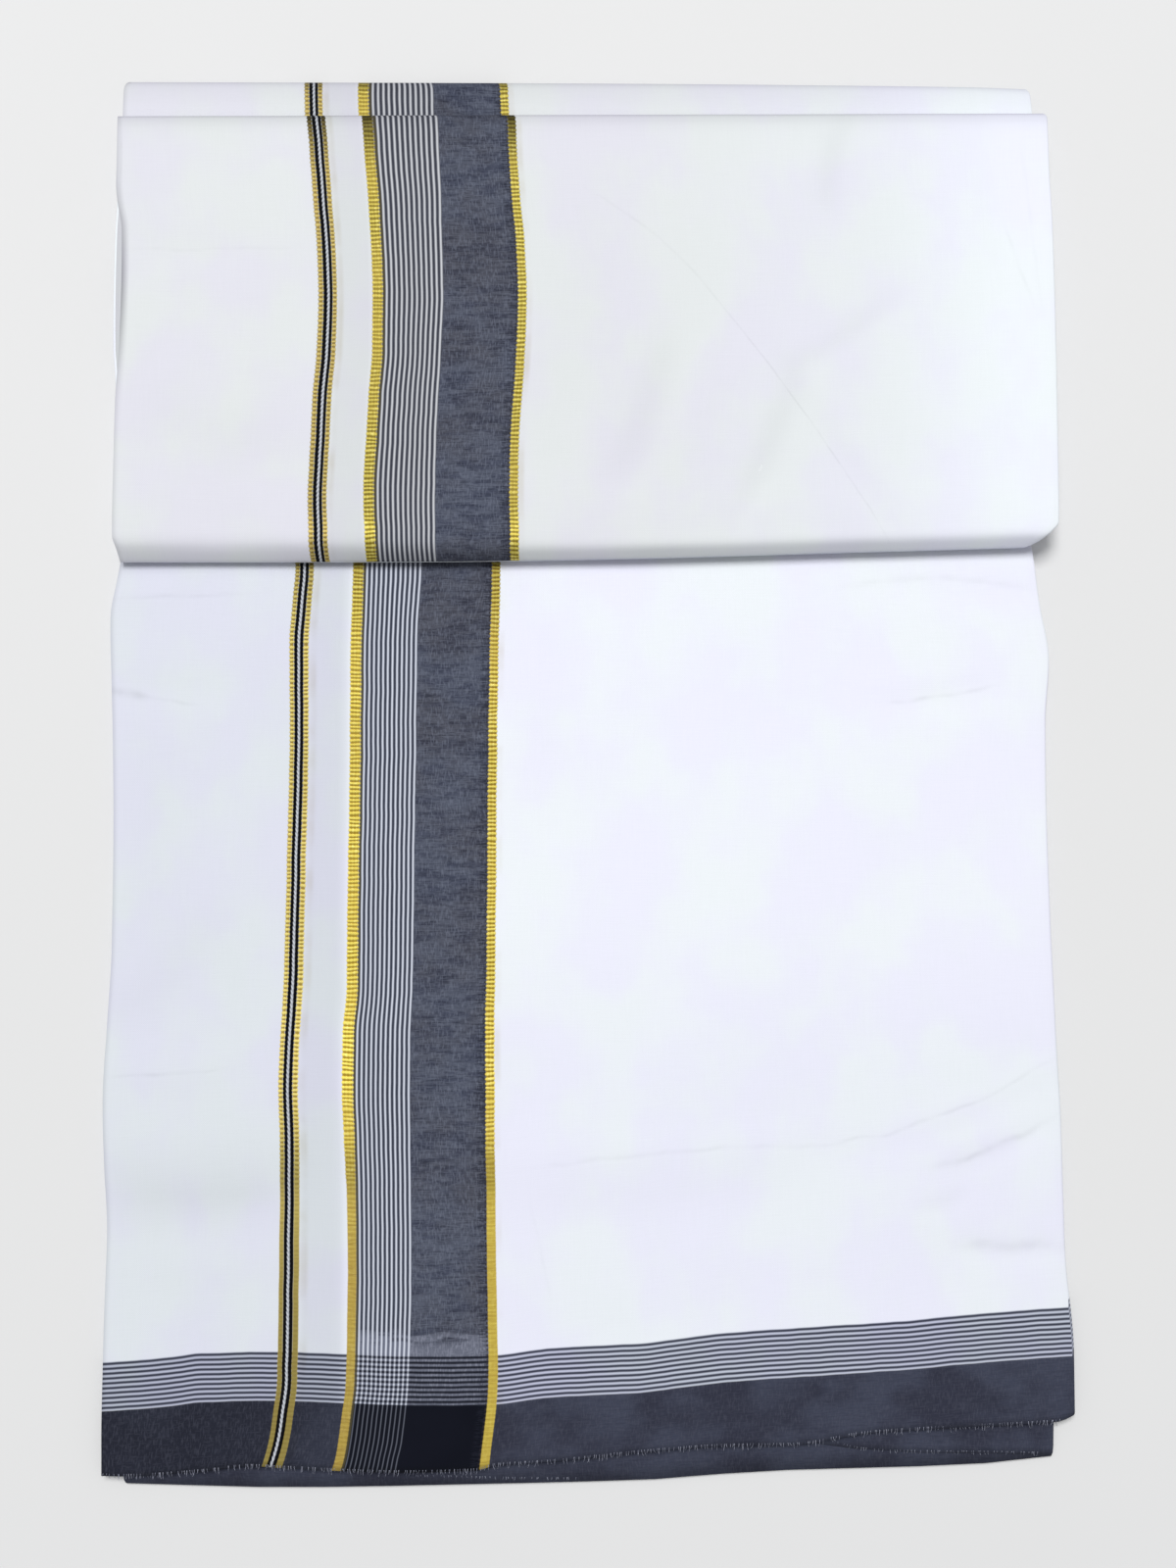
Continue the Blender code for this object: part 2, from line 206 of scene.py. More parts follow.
# How each end of a stretch runs across the cloth: place across, then place along.
OPEN_CUT = table(
    Row,
    (-158, -234.2), (-151, -234.4), (-124, -232.8), (-109, -231.2), (-97, -231.8), (-60, -233.2),
    (-35, -232.6), (-29, -231.0), (-11, -229.8), (23, -226.4), (46, -224.8), (69, -224.4),
    (94, -220.6), (127, -218.6), (150, -217.4), (156, -217.0), (162, -214.6),
)
SECOND_CUT = table(
    Row,
    (-156, -232.4), (-60, -231.4), (-20, -228.6), (23, -225.0), (60, -223.2), (76, -223.4),
    (92, -226.6), (104, -227.4), (132, -227.7), (156, -228.2),
)
THIRD_CUT = table(
    Row,
    (-152, -236.0), (-110, -235.2), (-54, -235.6), (-11, -236.4), (5, -236.2), (23, -235.4),
    (58, -232.9), (127, -230.7), (156, -227.9),
)
LOWEST_CUT = table(
    Row,
    (-152, -237.4), (-97, -238.7), (-38, -237.8), (23, -236.2), (58, -233.6), (127, -231.4),
    (156, -228.6),
)
ROLL_LINE = table(
    Row,
    (-160, 68.1), (-60, 68.2), (15, 69.2), (60, 70.4), (82, 71.1), (118, 72.1), (151, 73.1),
)
HIDDEN_LINE = moved(ROLL_LINE, HIDDEN_SET_BACK)
FRONT_TOP = table(Row, (-160, 222.9), (0, 223.4), (160, 223.9))
BACK_TOP = table(Row, (-160, 238.7), (-19, 238.3), (132, 236.9), (155, 236.1))

# The roll droops far at the left, and less from the middle to the right: its lowest line, how
# round its tip is, and how far it droops below the flat front at places in from its line.
ROLL_CHANGE = (-125.0, 40.0)
LEFT_UNDER, RIGHT_UNDER = 4.4, 5.4
LEFT_ROUND, RIGHT_ROUND = 1.4, 1.7
LEFT_DROOP = table(
    Row,
    (0.2, 5.38), (0.41, 5.11), (1.1, 4.25), (1.9, 3.35), (2.7, 2.53), (3.6, 1.73), (4.5, 1.08),
    (5.4, 0.62), (6.3, 0.34), (7.2, 0.17), (8.15, 0.07), (9.1, 0.02), (10.4, 0.0),
)
RIGHT_DROOP = table(
    Row,
    (0.2, 3.98), (0.47, 3.62), (0.9, 3.02), (1.4, 2.33), (1.9, 1.70), (2.4, 1.16), (2.9, 0.75),
    (3.4, 0.46), (3.9, 0.27), (4.5, 0.14), (5.2, 0.06), (6.2, 0.02), (10.4, 0.0),
)

# The line where the end band begins, across the top leaf.
BAND_LINE = table(
    Row,
    (-159, -213.8), (-137, -212.2), (-126, -210.8), (-105, -210.2), (-58, -211.6), (-31, -211.5),
    (-11, -209.2), (16, -207.8), (48, -204.2), (107, -200.2), (128, -198.2), (162, -195.8),
)

# Where the border's threads run: on the top leaf, and on the front and the strip behind it.
LEAF_WARP = table(
    Warp,
    (-230, -102.3, -80.9, -60.9, -32.0), (-226, -101.0, -79.7, -60.2, -31.6),
    (-220, -99.5, -78.7, -58.8, -30.8), (-213, -98.6, -77.8, -58.0, -30.0),
    (-201, -97.3, -76.6, -56.9, -29.3), (-170, -97.2, -76.3, -56.4, -29.8),
    (-138, -97.4, -76.9, -56.8, -30.4), (-122, -97.6, -77.4, -57.2, -30.6),
    (-106, -98.3, -78.0, -57.4, -30.7), (-89, -97.8, -78.1, -57.4, -30.9),
    (-73, -97.1, -76.9, -56.8, -30.7), (-40, -96.6, -77.0, -56.6, -30.5),
    (9, -96.1, -76.8, -56.3, -30.4), (43, -96.5, -77.0, -56.2, -30.0),
    (60, -95.5, -76.6, -55.4, -29.6), (66, -95.0, -76.5, -55.0, -29.5),
)
FRONT_WARP = table(
    Warp,
    (67, -87.2, -70.6, -49.4, -22.4), (75, -88.5, -71.3, -49.4, -22.7),
    (91, -89.1, -72.2, -49.6, -23.1), (108, -88.5, -71.5, -49.3, -22.9),
    (125, -87.8, -70.7, -48.6, -21.8), (142, -86.6, -69.7, -47.8, -20.8),
    (159, -86.4, -69.7, -47.3, -20.4), (176, -87.1, -70.4, -47.8, -21.1),
    (194, -88.7, -71.7, -48.4, -22.8), (211, -90.1, -73.1, -49.2, -23.9),
    (224, -91.6, -74.2, -49.8, -24.4),
)
STRIP_WARP = table(
    Warp,
    (220, -92.9, -75.8, -51.4, -26.6), (239, -93.6, -76.6, -51.9, -27.5),
)

# The broad creases that the pressing left: middle, length, direction in degrees, width, height
# and how much painted shade each lays on the cloth; a negative one takes painted shade away.
LEAF_CREASES = table(
    Crease,
    (121, 22, 48, 4, 7, -0.30), (112, 27, 36, 6, 4, 0.14), (-140, 24, 44, -4, 7, -0.28),
    (-150, 58, 30, 6, 5, 0.16), (130, 59, 60, -3, 6, -0.22), (119, -120, 96, 20, 8, -0.30),
    (132, -112, 80, 22, 5, 0.26), (137, -130, 38, 23, 4, -0.34, 0.02),
    (119.5, -146.7, 17, 18, 3, -0.20, 0.025), (141, -162, 36, -1, 4.5, -0.30, 0.015),
    (-138, -104, 44, 3, 7, 0.26), (-129.7, -145.6, 70, 2, 14.5, -0.70, 0.062),
    (-123, -145.3, 52, 2, 5.5, -0.12, 0.028), (-122, -165, 60, 2, 8, 0.30),
    (-137.6, -73, 52, 45, 9, -0.30, 0.022), (-144, -30, 70, 84, 12, -0.20, 0.016),
    (-100, 5, 66, 97, 9, -0.30, 0.010), (-92, -12, 58, 84, 6, 0.18),
    (-12, 16, 80, 92, 12, -0.26, 0.012), (20, -146, 120, 3, 10, -0.30, 0.018),
    (30, -128, 110, 3, 6, 0.16), (60, -60, 120, 78, 22, 0.30), (-66, -60, 120, 95, 16, 0.20),
    (20, -188, 90, 12, 12, -0.22), (110, -190, 70, 10, 12, 0.24),
    (153, -50, 240, 91, 9, 0.10, -0.020), (30, 58, 240, 0, 9, 0.0, -0.010),
)
FRONT_CREASES = table(
    Crease,
    (76.4, 116, 104, -55.5, 5, -0.30), (83, 120, 80, -55.5, 5, 0.22),
    (85.3, 203.4, 32, -99.5, 4.5, -0.30, 0.045), (63.3, 106.2, 60, 66.7, 4.8, -0.40, 0.048),
    (90, 144, 44, 34.6, 4.2, -0.30, 0.022), (21.8, 116.8, 54, 70.9, 6.5, -0.40, 0.040),
    (36, 118, 50, 72, 6, 0.20), (146, 188, 68, -76, 7, 0.28),
    (138, 190, 60, -78, 5, -0.20, 0.012), (-134, 174, 44, 0, 6, -0.20),
    (-120, 120, 60, 84, 14, 0.22), (-127.3, 110, 56, -17.6, 10, -0.25, 0.018),
    (-4, 150, 90, 88, 18, -0.20, 0.010), (120, 118, 60, 20, 18, 0.22),
    (10, 86, 420, 0, 8, 0.12, -0.020), (153, 130, 150, 90, 9, 0.10, -0.018),
)
UNDER_CREASES = table(
    Crease,
    (-90, -60, 90, 18, 7, 0.12, 0.01), (40, 120, 120, -28, 9, 0.12, 0.01),
    (96, -150, 70, 64, 6, 0.10, 0.01), (-30, 30, 110, 84, 8, 0.10, 0.01),
    (110, 30, 60, -8, 6, 0.12, 0.01),
)

# The sharp creases, finer than the mesh: middle, length, direction in degrees, width, how far
# each bends aside at its ends, height, and how much painted shade it lays on the cloth.
PRESSED = table(
    Press,
    (76.4, 116.0, 102.5, -55.5, 0.33, -1.9, -0.050, 0.050),
    (28.1, 176.7, 56.7, -42.3, 0.53, -2.9, -0.030, 0.030),
    (148.5, 169.5, 29.1, -70.4, 0.66, 0.0, -0.040, 0.030),
    (153.5, 180.4, 54.3, -84.1, 0.66, 0.0, -0.030, 0.020),
    (-127.8, 174.8, 58.1, 1.0, 0.73, 0.0, -0.030, 0.020),
    (118.5, -118.5, 80.2, 19.7, 0.73, 4.3, -0.050, 0.045),
    (30.5, -130.1, 97.7, 4.8, 0.86, -2.0, -0.040, 0.030),
    (137.4, -128.4, 37.5, 22.1, 1.19, 1.1, -0.100, 0.100),
    (141.8, -160.9, 33.7, -1.1, 2.15, 0.0, -0.120, 0.060),
    (-14.1, -162.0, 31.5, -78.0, 0.66, 0.0, -0.030, 0.020),
    (120.8, 22.2, 35.4, 8.2, 0.73, 0.7, -0.050, 0.060),
    (122.5, 62.4, 67.5, -1.1, 1.33, -2.7, -0.050, 0.030),
    (-154.8, 23.5, 14.4, -12.8, 1.33, 0.0, -0.100, 0.120),
    (-142.0, 21.1, 18.5, -7.8, 0.73, 0.0, -0.050, 0.040),
    (-137.2, 56.9, 44.1, 1.3, 0.83, 0.0, -0.040, 0.030),
    (-140.0, -104.5, 36.6, 4.6, 0.66, 0.0, -0.050, 0.050),
    (-158.2, 206.0, 28.0, 91.0, 0.40, 0.0, -0.030, 0.060),
)

# The soft swells: height, waves' lengths across and along, and where each starts. The front's
# are the same ones further along.
SWELLS = table(
    Ripple,
    (0.055, 61.0, 212.0, 0.4), (0.050, -93.0, 128.0, 1.9), (0.045, 148.0, -74.0, 3.1),
    (0.030, 41.0, 57.0, 0.8), (0.024, -33.0, 88.0, 2.2),
)
FRONT_SWELL_SHIFT = 70.0


def read_table(table, column, at):
    """One column of a table at any places, on a smooth curve that never passes its rows.

    The slope at a row is the harmonic mean of the slopes beside it, or 0 where they differ
    in sign, and each stretch between two rows is a cubic.
    """
    places = np.array([row[0] for row in table], dtype=float)
    values = np.array([getattr(row, column) for row in table], dtype=float)
    steep = np.diff(values) / np.diff(places)
    before, after = steep[:-1], steep[1:]
    same = before * after > 0
    total = np.where(same, before + after, 1.0)
    inner = np.where(same, 2 * before * after / total, 0.0)
    slopes = np.concatenate([steep[:1], inner, steep[-1:]])
    index = np.clip(np.searchsorted(places, at, side="right") - 1, 0, len(places) - 2)
    span = places[index + 1] - places[index]
    part = np.clip((at - places[index]) / span, 0.0, 1.0)
    start = values[index] * (1 + 2 * part) * (1 - part) ** 2
    end = values[index + 1] * (3 - 2 * part) * part**2
    lean = span * part * (1 - part) * (slopes[index] * (1 - part) - slopes[index + 1] * part)
    return start + end + lean


def line_at(table, x):
    """Place along the cloth of a line that runs across it."""
    return read_table(table, "value", x)


def smooth_step(value):
    """0 below 0, 1 above 1 and an even slope between."""
    part = np.clip(value, 0.0, 1.0)
    return part * part * (3 - 2 * part)


def crease_field(creases, x, y, column="height"):
    """Height or shade of a set of creases: each a soft band that fades at both ends.

    A crease bends a little to one side along its length, and it is narrower at its ends.
    """
    total = np.zeros_like(x)
    for crease in creases:
        angle = math.radians(crease.angle)
        along = (x - crease.x) * math.cos(angle) + (y - crease.y) * math.sin(angle)
        beside = (y - crease.y) * math.cos(angle) - (x - crease.x) * math.sin(angle)
        place = 2 * along / crease.length
        beside = beside - crease.width * CREASE_BEND * place**2
        fade = np.exp(-(place**4))
        total += getattr(crease, column) * fade * np.exp(-((beside / crease.width) ** 2))
    return total


def swell(x, y):
    """Soft swells of a pressed cloth: a few long waves that cross each other."""
    height = np.zeros_like(x)
    for ripple in SWELLS:
        place = x / ripple.across + y / ripple.along
        height += ripple.size * np.sin(2 * math.pi * place + ripple.start)
    return height


# ---- The pleats across the cloth ----

# The levels that each ply's quarters lie at, counted up from the surface at the open end, how
# far its woven edges, its left pleat and its right pleats stand back from the outermost, how
# loosely its edges wander, and how dark a painted shadow lies on its woven edge where the
# front's two part.
Ply = namedtuple("Ply", "levels woven_back left_back right_back seed loose parted")
PLY_ONE = Ply((8, 5, 4, 1), 0.0, 0.62, 0.0, 0, 0.12, 0.46)
PLY_TWO = Ply((7, 6, 3, 2), 0.8, 0.0, 0.62, 3, 0.5, 0.03)
LEVELS = 8
FINE_STEP = 2.4
ROW_STEP = 2.4
COARSE_COLUMNS = 15
PLEAT_COLUMNS = 6

# Which of a stretch's side edges each quarter's columns run between.
LEFT_EDGE = (0, 1, 1, 2)
RIGHT_EDGE = (3, 3, 4, 4)

Columns = namedtuple("Columns", "quarter after turned share level pleat bulge u border")


def fine_places():
    """Places across a quarter where its columns lie, with one on each named thread."""
    parts = []
    for low, high in zip(NAMED_THREADS[:-1], NAMED_THREADS[1:]):
        count = max(2, round((high - low) / FINE_STEP))
        parts.append(np.linspace(low, high, count, endpoint=False))
    return np.concatenate(parts + [[QUARTER]])


def level_shares(levels):
    """Shares of the stack's thickness that levels lie at."""
    return [(level - 1) / (LEVELS - 1) for level in levels]


def pleat_columns(levels, fine_quarter):
    """The columns of a pleated ply, from one woven edge to the other.

    Each quarter is a run of columns between its left edge and its right one. Between two
    quarters is a half-round pleat, whose level goes from one to the other by the cosine of
    its turn while it bulges outwards by the sine.
    """
    shares = level_shares(levels)
    parts = []
    for quarter, level in enumerate(shares):
        fine = quarter == fine_quarter
        places = fine_places() if fine else np.linspace(0, QUARTER, COARSE_COLUMNS)
        if quarter % 2:
            places = places[::-1]
        flat = np.zeros_like(places)
        u = places if quarter in (0, 3) else CLOTH_WIDTH / 2 - places
        parts.append(Columns(flat + quarter, flat + quarter, flat, places / QUARTER, flat + level,
                             flat, flat, u, flat + fine))
        if quarter == len(shares) - 1:
            continue
        turn = np.linspace(0.0, math.pi, PLEAT_COLUMNS + 2)[1:-1]
        after = shares[quarter + 1]
        side = -1.0 if quarter % 2 else 1.0
        flat = np.zeros_like(turn)
        middle = (level + after) / 2 + (level - after) / 2 * np.cos(turn)
        edge_u = CLOTH_WIDTH / 2 if quarter % 2 else QUARTER
        parts.append(Columns(flat + quarter, flat + quarter + 1, (1 - np.cos(turn)) / 2,
                             flat + (side > 0), middle, flat + abs(level - after) / 2,
                             side * np.sin(turn), flat + edge_u, flat))
    return Columns(*(np.concatenate(column) for column in zip(*parts)))


def pleat_sizes(levels):
    """Half the share of the stack that each quarter's left and right pleats take up."""
    turns = [abs(low - high) / 2 / (LEVELS - 1) for low, high in zip(levels[:-1], levels[1:])]
    left, right = (0.0, turns[1], turns[1], 0.0), (turns[0], turns[0], turns[2], turns[2])
    return np.array(left), np.array(right)


# ---- The stretches along the cloth ----

# Rows of the stack along one stretch of the cloth.
#   feet, head, share    the lines across that each row lies between, and its share of the way
#   outer, inner         offset along and height of the stack's two faces, for shares 0 and 1
#   edges                the woven edge of the first quarter, the left pleat, the woven edge of
#                        the last quarter, and the right pleats of the first and last pairs
#   warp                 where the border's named threads run
Stretch = namedtuple("Stretch", "feet head share outer inner edges warp")


def mix(first, second, share):
    """A straight mix of two values."""
    return first * (1 - share) + second * share


def wander(place, seed):
    """A slow wander of an edge along the cloth: two waves of its own."""
    first = np.sin(2 * math.pi * place / (61 + 9 * seed) + 1.7 * seed)
    second = np.sin(2 * math.pi * place / (23 + 5 * seed) + 0.9 * seed)
    return 0.26 * first + 0.12 * second


def face(share, height):
    """One face of the stack along a flat stretch."""
    return np.zeros_like(share), np.full_like(share, height)


def turned_face(turn, low, high, reach):
    """One face of the stack round a fold, from its low height to its high one.

    It goes out by its reach times the sine of the turn, and up by the cosine.
    """
    return reach * np.sin(turn), (low + high) / 2 - (high - low) / 2 * np.cos(turn)


def side_edges(first, last, along):
    """The five side edges of a stretch from the sides of its first and last pairs of quarters.

    Each pair is a table and the names of its left and right sides.
    """
    (first_table, first_left, first_right), (last_table, last_left, last_right) = first, last
    sides = (
        (-1, first_table, first_left), (-1, first_table, "under_left"), (-1, last_table, last_left),
        (1, first_table, first_right), (1, last_table, last_right),
    )
    return np.stack([side * (HALF + read_table(rows, name, along)) for side, rows, name in sides])


def threads_at(table, y):
    """Where the four named threads run at places along the cloth."""
    return np.stack([read_table(table, name, y) for name in Warp._fields[1:]])


def turn_between(before, after, turn):
    """Edges or threads round a fold, from the last row before it to the first one after."""
    return mix(before[:, -1:], after[:, :1], (1 - np.cos(turn)) / 2)


def leaf_stretch(count, feet):
    """The open end: leaves that lie flat, each with its own cut line."""
    share = np.linspace(0.0, 1.0, count)
    along = share * (OPEN_LENGTH - BACK_REACH)
    edges = side_edges((UPPER_EDGES, "left", "right"), (LOWER_EDGES, "left", "right"), along)
    return Stretch(
        feet, moved(BACK_TOP, -BACK_REACH), share, face(share, INSET),
        face(share, LEAVES_HIGH - INSET), edges, threads_at(LEAF_WARP, along + CUT_MIDDLE),
    )


def fold_stretches(counts, leaves, ply):
    """The stack from the fold at the back to the foot of the front, and the folds between.

    Counts are the rows of the back, the middle and the front panels and of each fold. The fold
    at the back goes on from the last row of the leaves.
    """
    back_count, middle_count, front_count, turn_count = counts
    turn = np.linspace(0.0, math.pi, turn_count + 2)[1:-1]
    down = np.linspace(1.0, 0.0, back_count)
    up = np.linspace(0.0, 1.0, middle_count)
    fall = np.linspace(1.0, 0.0, front_count)
    top, hidden = moved(BACK_TOP, -BACK_REACH), moved(HIDDEN_LINE, HIDDEN_REACH)
    front_top, front_foot = moved(FRONT_TOP, -FRONT_REACH), moved(ROLL_LINE, ROLL_REACH)
    front_left = "left" if ply is PLY_ONE else "under_left"

    def panel(foot, head, share, heights, sides, span, warp):
        """A flat stretch. Its side edges run from the first place of its span to the last."""
        outer, inner = (face(share, height) for height in heights)
        along = span[0] + share * (span[1] - span[0])
        return Stretch((foot,) * 4, head, share, outer, inner, side_edges(*sides, along), warp)

    def fold(line, before, after, outer, inner, reach, inner_reach):
        return Stretch(
            (line,) * 4, line, np.zeros(turn_count),
            turned_face(turn, *outer, reach), turned_face(turn, *inner, inner_reach),
            turn_between(before.edges, after.edges, turn),
            turn_between(before.warp, after.warp, turn),
        )

    leaves_top = LEAVES_HIGH - INSET
    back_top, back_low = BACK_HIGH - INSET, BACK_LOW + INSET
    middle_top, middle_low = MIDDLE_HIGH - INSET, MIDDLE_LOW + INSET
    front_high, front_low = FRONT_HIGH - INSET, FRONT_LOW + INSET
    back = panel(
        hidden, top, down, (back_top, back_low), ((BACK_EDGES, "under_left", "under_right"),) * 2,
        (HIDDEN_REACH, BACK_LENGTH - BACK_REACH),
        threads_at(STRIP_WARP, STRIP_START + BACK_LENGTH * down),
    )
    middle = panel(
        hidden, front_top, up, (middle_low, middle_top), ((BACK_EDGES, "left", "right"),) * 2,
        (HIDDEN_REACH, FRONT_LENGTH - HIDDEN_SET_BACK - FRONT_REACH),
        threads_at(STRIP_WARP, STRIP_START + BACK_LENGTH * up),
    )
    foot_place = ROLL_LINE[1].value + ROLL_REACH
    front = panel(
        front_foot, front_top, fall, (front_high, front_low),
        ((FRONT_EDGES, "under_left", "under_right"), (FRONT_EDGES, front_left, "right")),
        (ROLL_REACH, FRONT_LENGTH - FRONT_REACH),
        threads_at(FRONT_WARP, mix(foot_place, FRONT_TOP[1].value - FRONT_REACH, fall)),
    )
    back_fold = fold(top, leaves, back, (INSET, back_top), (leaves_top, back_low),
                     BACK_REACH - INSET, INSET)
    low_fold = fold(hidden, back, middle, (back_top, middle_low), (back_low, middle_top),
                    -INSET, INSET - HIDDEN_REACH)
    front_fold = fold(front_top, middle, front, (middle_low, front_high), (middle_top, front_low),
                      FRONT_REACH - INSET, INSET)
    return [back_fold, back, low_fold, middle, front_fold, front]


def joined(stretches, ply):
    """One table of rows from several stretches, with a ply's own edges."""
    outer, inner, edges, warp = (
        np.concatenate([np.array(getattr(stretch, name)) for stretch in stretches], axis=1)
        for name in ("outer", "inner", "edges", "warp")
    )
    place = np.arange(edges.shape[1]) * ROW_STEP
    left, right = ply.woven_back, -ply.right_back
    back = np.array([left, ply.left_back, left, right, right])
    slow = np.stack([wander(place, ply.seed + 1 + edge) for edge in range(len(back))])
    return outer, inner, edges + back[:, None] + ply.loose * slow, warp


def across(columns, edges, warp, sizes, thick):
    """Place across of every column on every row.

    A column lies at its share of the way between its quarter's edges. In the quarter whose
    border shows, it lies at its share between the two named threads beside it. A pleat's
    columns bulge from the edge by the pleat's radius times the sine of its turn.
    """
    quarter = columns.quarter.astype(int)
    left_size, right_size = sizes
    left = edges[np.array(LEFT_EDGE)[quarter]].T + left_size[quarter] * thick[:, None]
    right = edges[np.array(RIGHT_EDGE)[quarter]].T - right_size[quarter] * thick[:, None]
    plain = mix(left, right, columns.share)
    knots = [left] + [thread[:, None] for thread in warp] + [right]
    bordered = left.copy()
    for part, (low, high) in enumerate(zip(NAMED_THREADS[:-1], NAMED_THREADS[1:])):
        share = np.clip((columns.u - low) / (high - low), 0.0, 1.0)
        bordered += (knots[part + 1] - knots[part]) * share
    x = np.where(columns.border > 0, bordered, plain)
    return x + columns.pleat * columns.bulge * thick[:, None]


def along_lines(stretches, columns, x):
    """Place along of every column on every row, between the lines that its stretch ends at."""
    parts = []
    start = 0
    for stretch in stretches:
        rows = x[start:start + len(stretch.share)]
        start += len(stretch.share)
        head = line_at(stretch.head, rows)
        foot = np.zeros_like(rows)
        for quarter, line in enumerate(stretch.feet):
            weight = (columns.quarter == quarter) * (1 - columns.turned)
            weight = weight + (columns.after == quarter) * columns.turned
            foot += weight * line_at(line, rows)
        parts.append(mix(foot, head, stretch.share[:, None]))
    return np.concatenate(parts)


def stack_points(stretches, ply, columns):
    """Places across, along and up of a ply's rows and columns, before its creases."""
    outer, inner, edges, warp = joined(stretches, ply)
    thick = np.hypot(*(outer - inner))
    x = across(columns, edges, warp, pleat_sizes(ply.levels), thick)
    offset, z = mix(outer[:, :, None], inner[:, :, None], columns.level)
    return x, along_lines(stretches, columns, x) + offset, z


def roll_points(ply, columns, after_levels, x):
    """The drooping roll at the foot of the front: rows down its slope, then rows round its tip.

    The outermost layer droops by its table. A layer inside it lies lower by its depth in the
    stack times the length of the slope's unit step, which keeps the layers evenly apart. The
    last quarter of the first ply is the outermost. It goes on round a circle that touches its
    slope and the lowest line, and then in under the roll. The other quarters turn back on a
    small half circle towards the ply beside them.
    """
    wrap = np.where(columns.quarter == 3, 1.0, np.where(columns.after == 3, columns.turned, 0.0))
    wrap = wrap if ply is PLY_ONE else np.zeros_like(wrap)
    steep = math.hypot(1.0, ROLL_SLOPE)
    normal_a, normal_z = ROLL_SLOPE / steep, -1.0 / steep
    deep = columns.level * FRONT_DEEP
    change = smooth_step((x - ROLL_CHANGE[0]) / (ROLL_CHANGE[1] - ROLL_CHANGE[0]))
    under = mix(LEFT_UNDER, RIGHT_UNDER, change)
    tip_round = mix(LEFT_ROUND, RIGHT_ROUND, change)
    centre_z = under + INSET + tip_round
    centre_a = INSET + tip_round
    touch = centre_a - normal_a * tip_round

    def droop(place):
        return mix(line_at(LEFT_DROOP, place), line_at(RIGHT_DROOP, place), change)

    def height(place):
        lean = (droop(place - PROBE_STEP) - droop(place + PROBE_STEP)) / (2 * PROBE_STEP)
        return FRONT_HIGH - INSET - droop(place) - deep * np.hypot(1.0, lean)

    probe = mix(touch, ROLL_REACH, np.linspace(0.0, 1.0, PROBE_ROWS)[:, None])
    low = np.argmax(height(probe) > under + ROLL_INNER_END, axis=0)
    end = mix(np.take_along_axis(probe, low[None], axis=0)[0], touch, wrap)
    a = mix(ROLL_REACH, end, np.linspace(0.0, 1.0, ROLL_ROWS)[1:, None])
    z = height(a)
    if ply is not PLY_ONE:
        return a, z
    turn = np.linspace(math.atan2(-normal_z, -normal_a), 1.5 * math.pi, TIP_ROWS)[1:, None]
    tuck = mix(centre_a, ROLL_TUCK, np.linspace(0.0, 1.0, TUCK_ROWS)[1:, None])
    wrapped_a = np.concatenate([centre_a + tip_round * np.cos(turn), tuck])
    wrapped_z = np.concatenate([centre_z + tip_round * np.sin(turn), tuck * 0 + under + INSET])
    half_turn = np.linspace(0.0, math.pi, len(wrapped_a) + 1)[1:, None]
    bulge = ROLL_TURN_BULGE * np.sin(half_turn)
    back = (after_levels - columns.level) * FRONT_DEEP / 2 * (1 - np.cos(half_turn))
    back_a = end - bulge / steep + normal_a * back
    back_z = z[-1] - bulge * ROLL_SLOPE / steep + normal_z * back
    return (np.concatenate([a, mix(back_a, wrapped_a, wrap)]),
            np.concatenate([z, mix(back_z, wrapped_z, wrap)]))


def roll_sides(x, a):
    """Place across on the roll: its corners draw in as the side edges do."""
    shift = 0.0
    for side, name in ((-1, "left"), (1, "right")):
        drawn = read_table(FRONT_EDGES, name, a) - read_table(FRONT_EDGES, name, ROLL_REACH)
        shift = shift + side * drawn * smooth_step((side * x - HALF + ROLL_CORNER) / ROLL_CORNER)
    return x + shift


def creased(x, y, z, leaves):
    """Height with the creases: each layer follows them by its share of the stack's height."""
    if leaves:
        share = z / LEAVES_HIGH * (1 - smooth_step((y - CREASED_END) / CREASED_FADE))
        over = crease_field(LEAF_CREASES, x, y) + swell(x, y)
    else:
        share = smooth_step((z - FRONT_LOW) / (FRONT_HIGH - FRONT_LOW))
        over = crease_field(FRONT_CREASES, x, y) + swell(x, y + FRONT_SWELL_SHIFT)
    under = crease_field(UNDER_CREASES, x, y) * (1 - smooth_step(z / LEAVES_HIGH))
    return z + share * over + under


# ---- Making the meshes ----


def grid_faces(rows, columns):
    """The four corners of every face of a grid of points."""
    first = np.arange((rows - 1) * columns).reshape(rows - 1, columns)[:, :-1].ravel()
    return np.stack([first, first + 1, first + columns + 1, first + columns], axis=1)


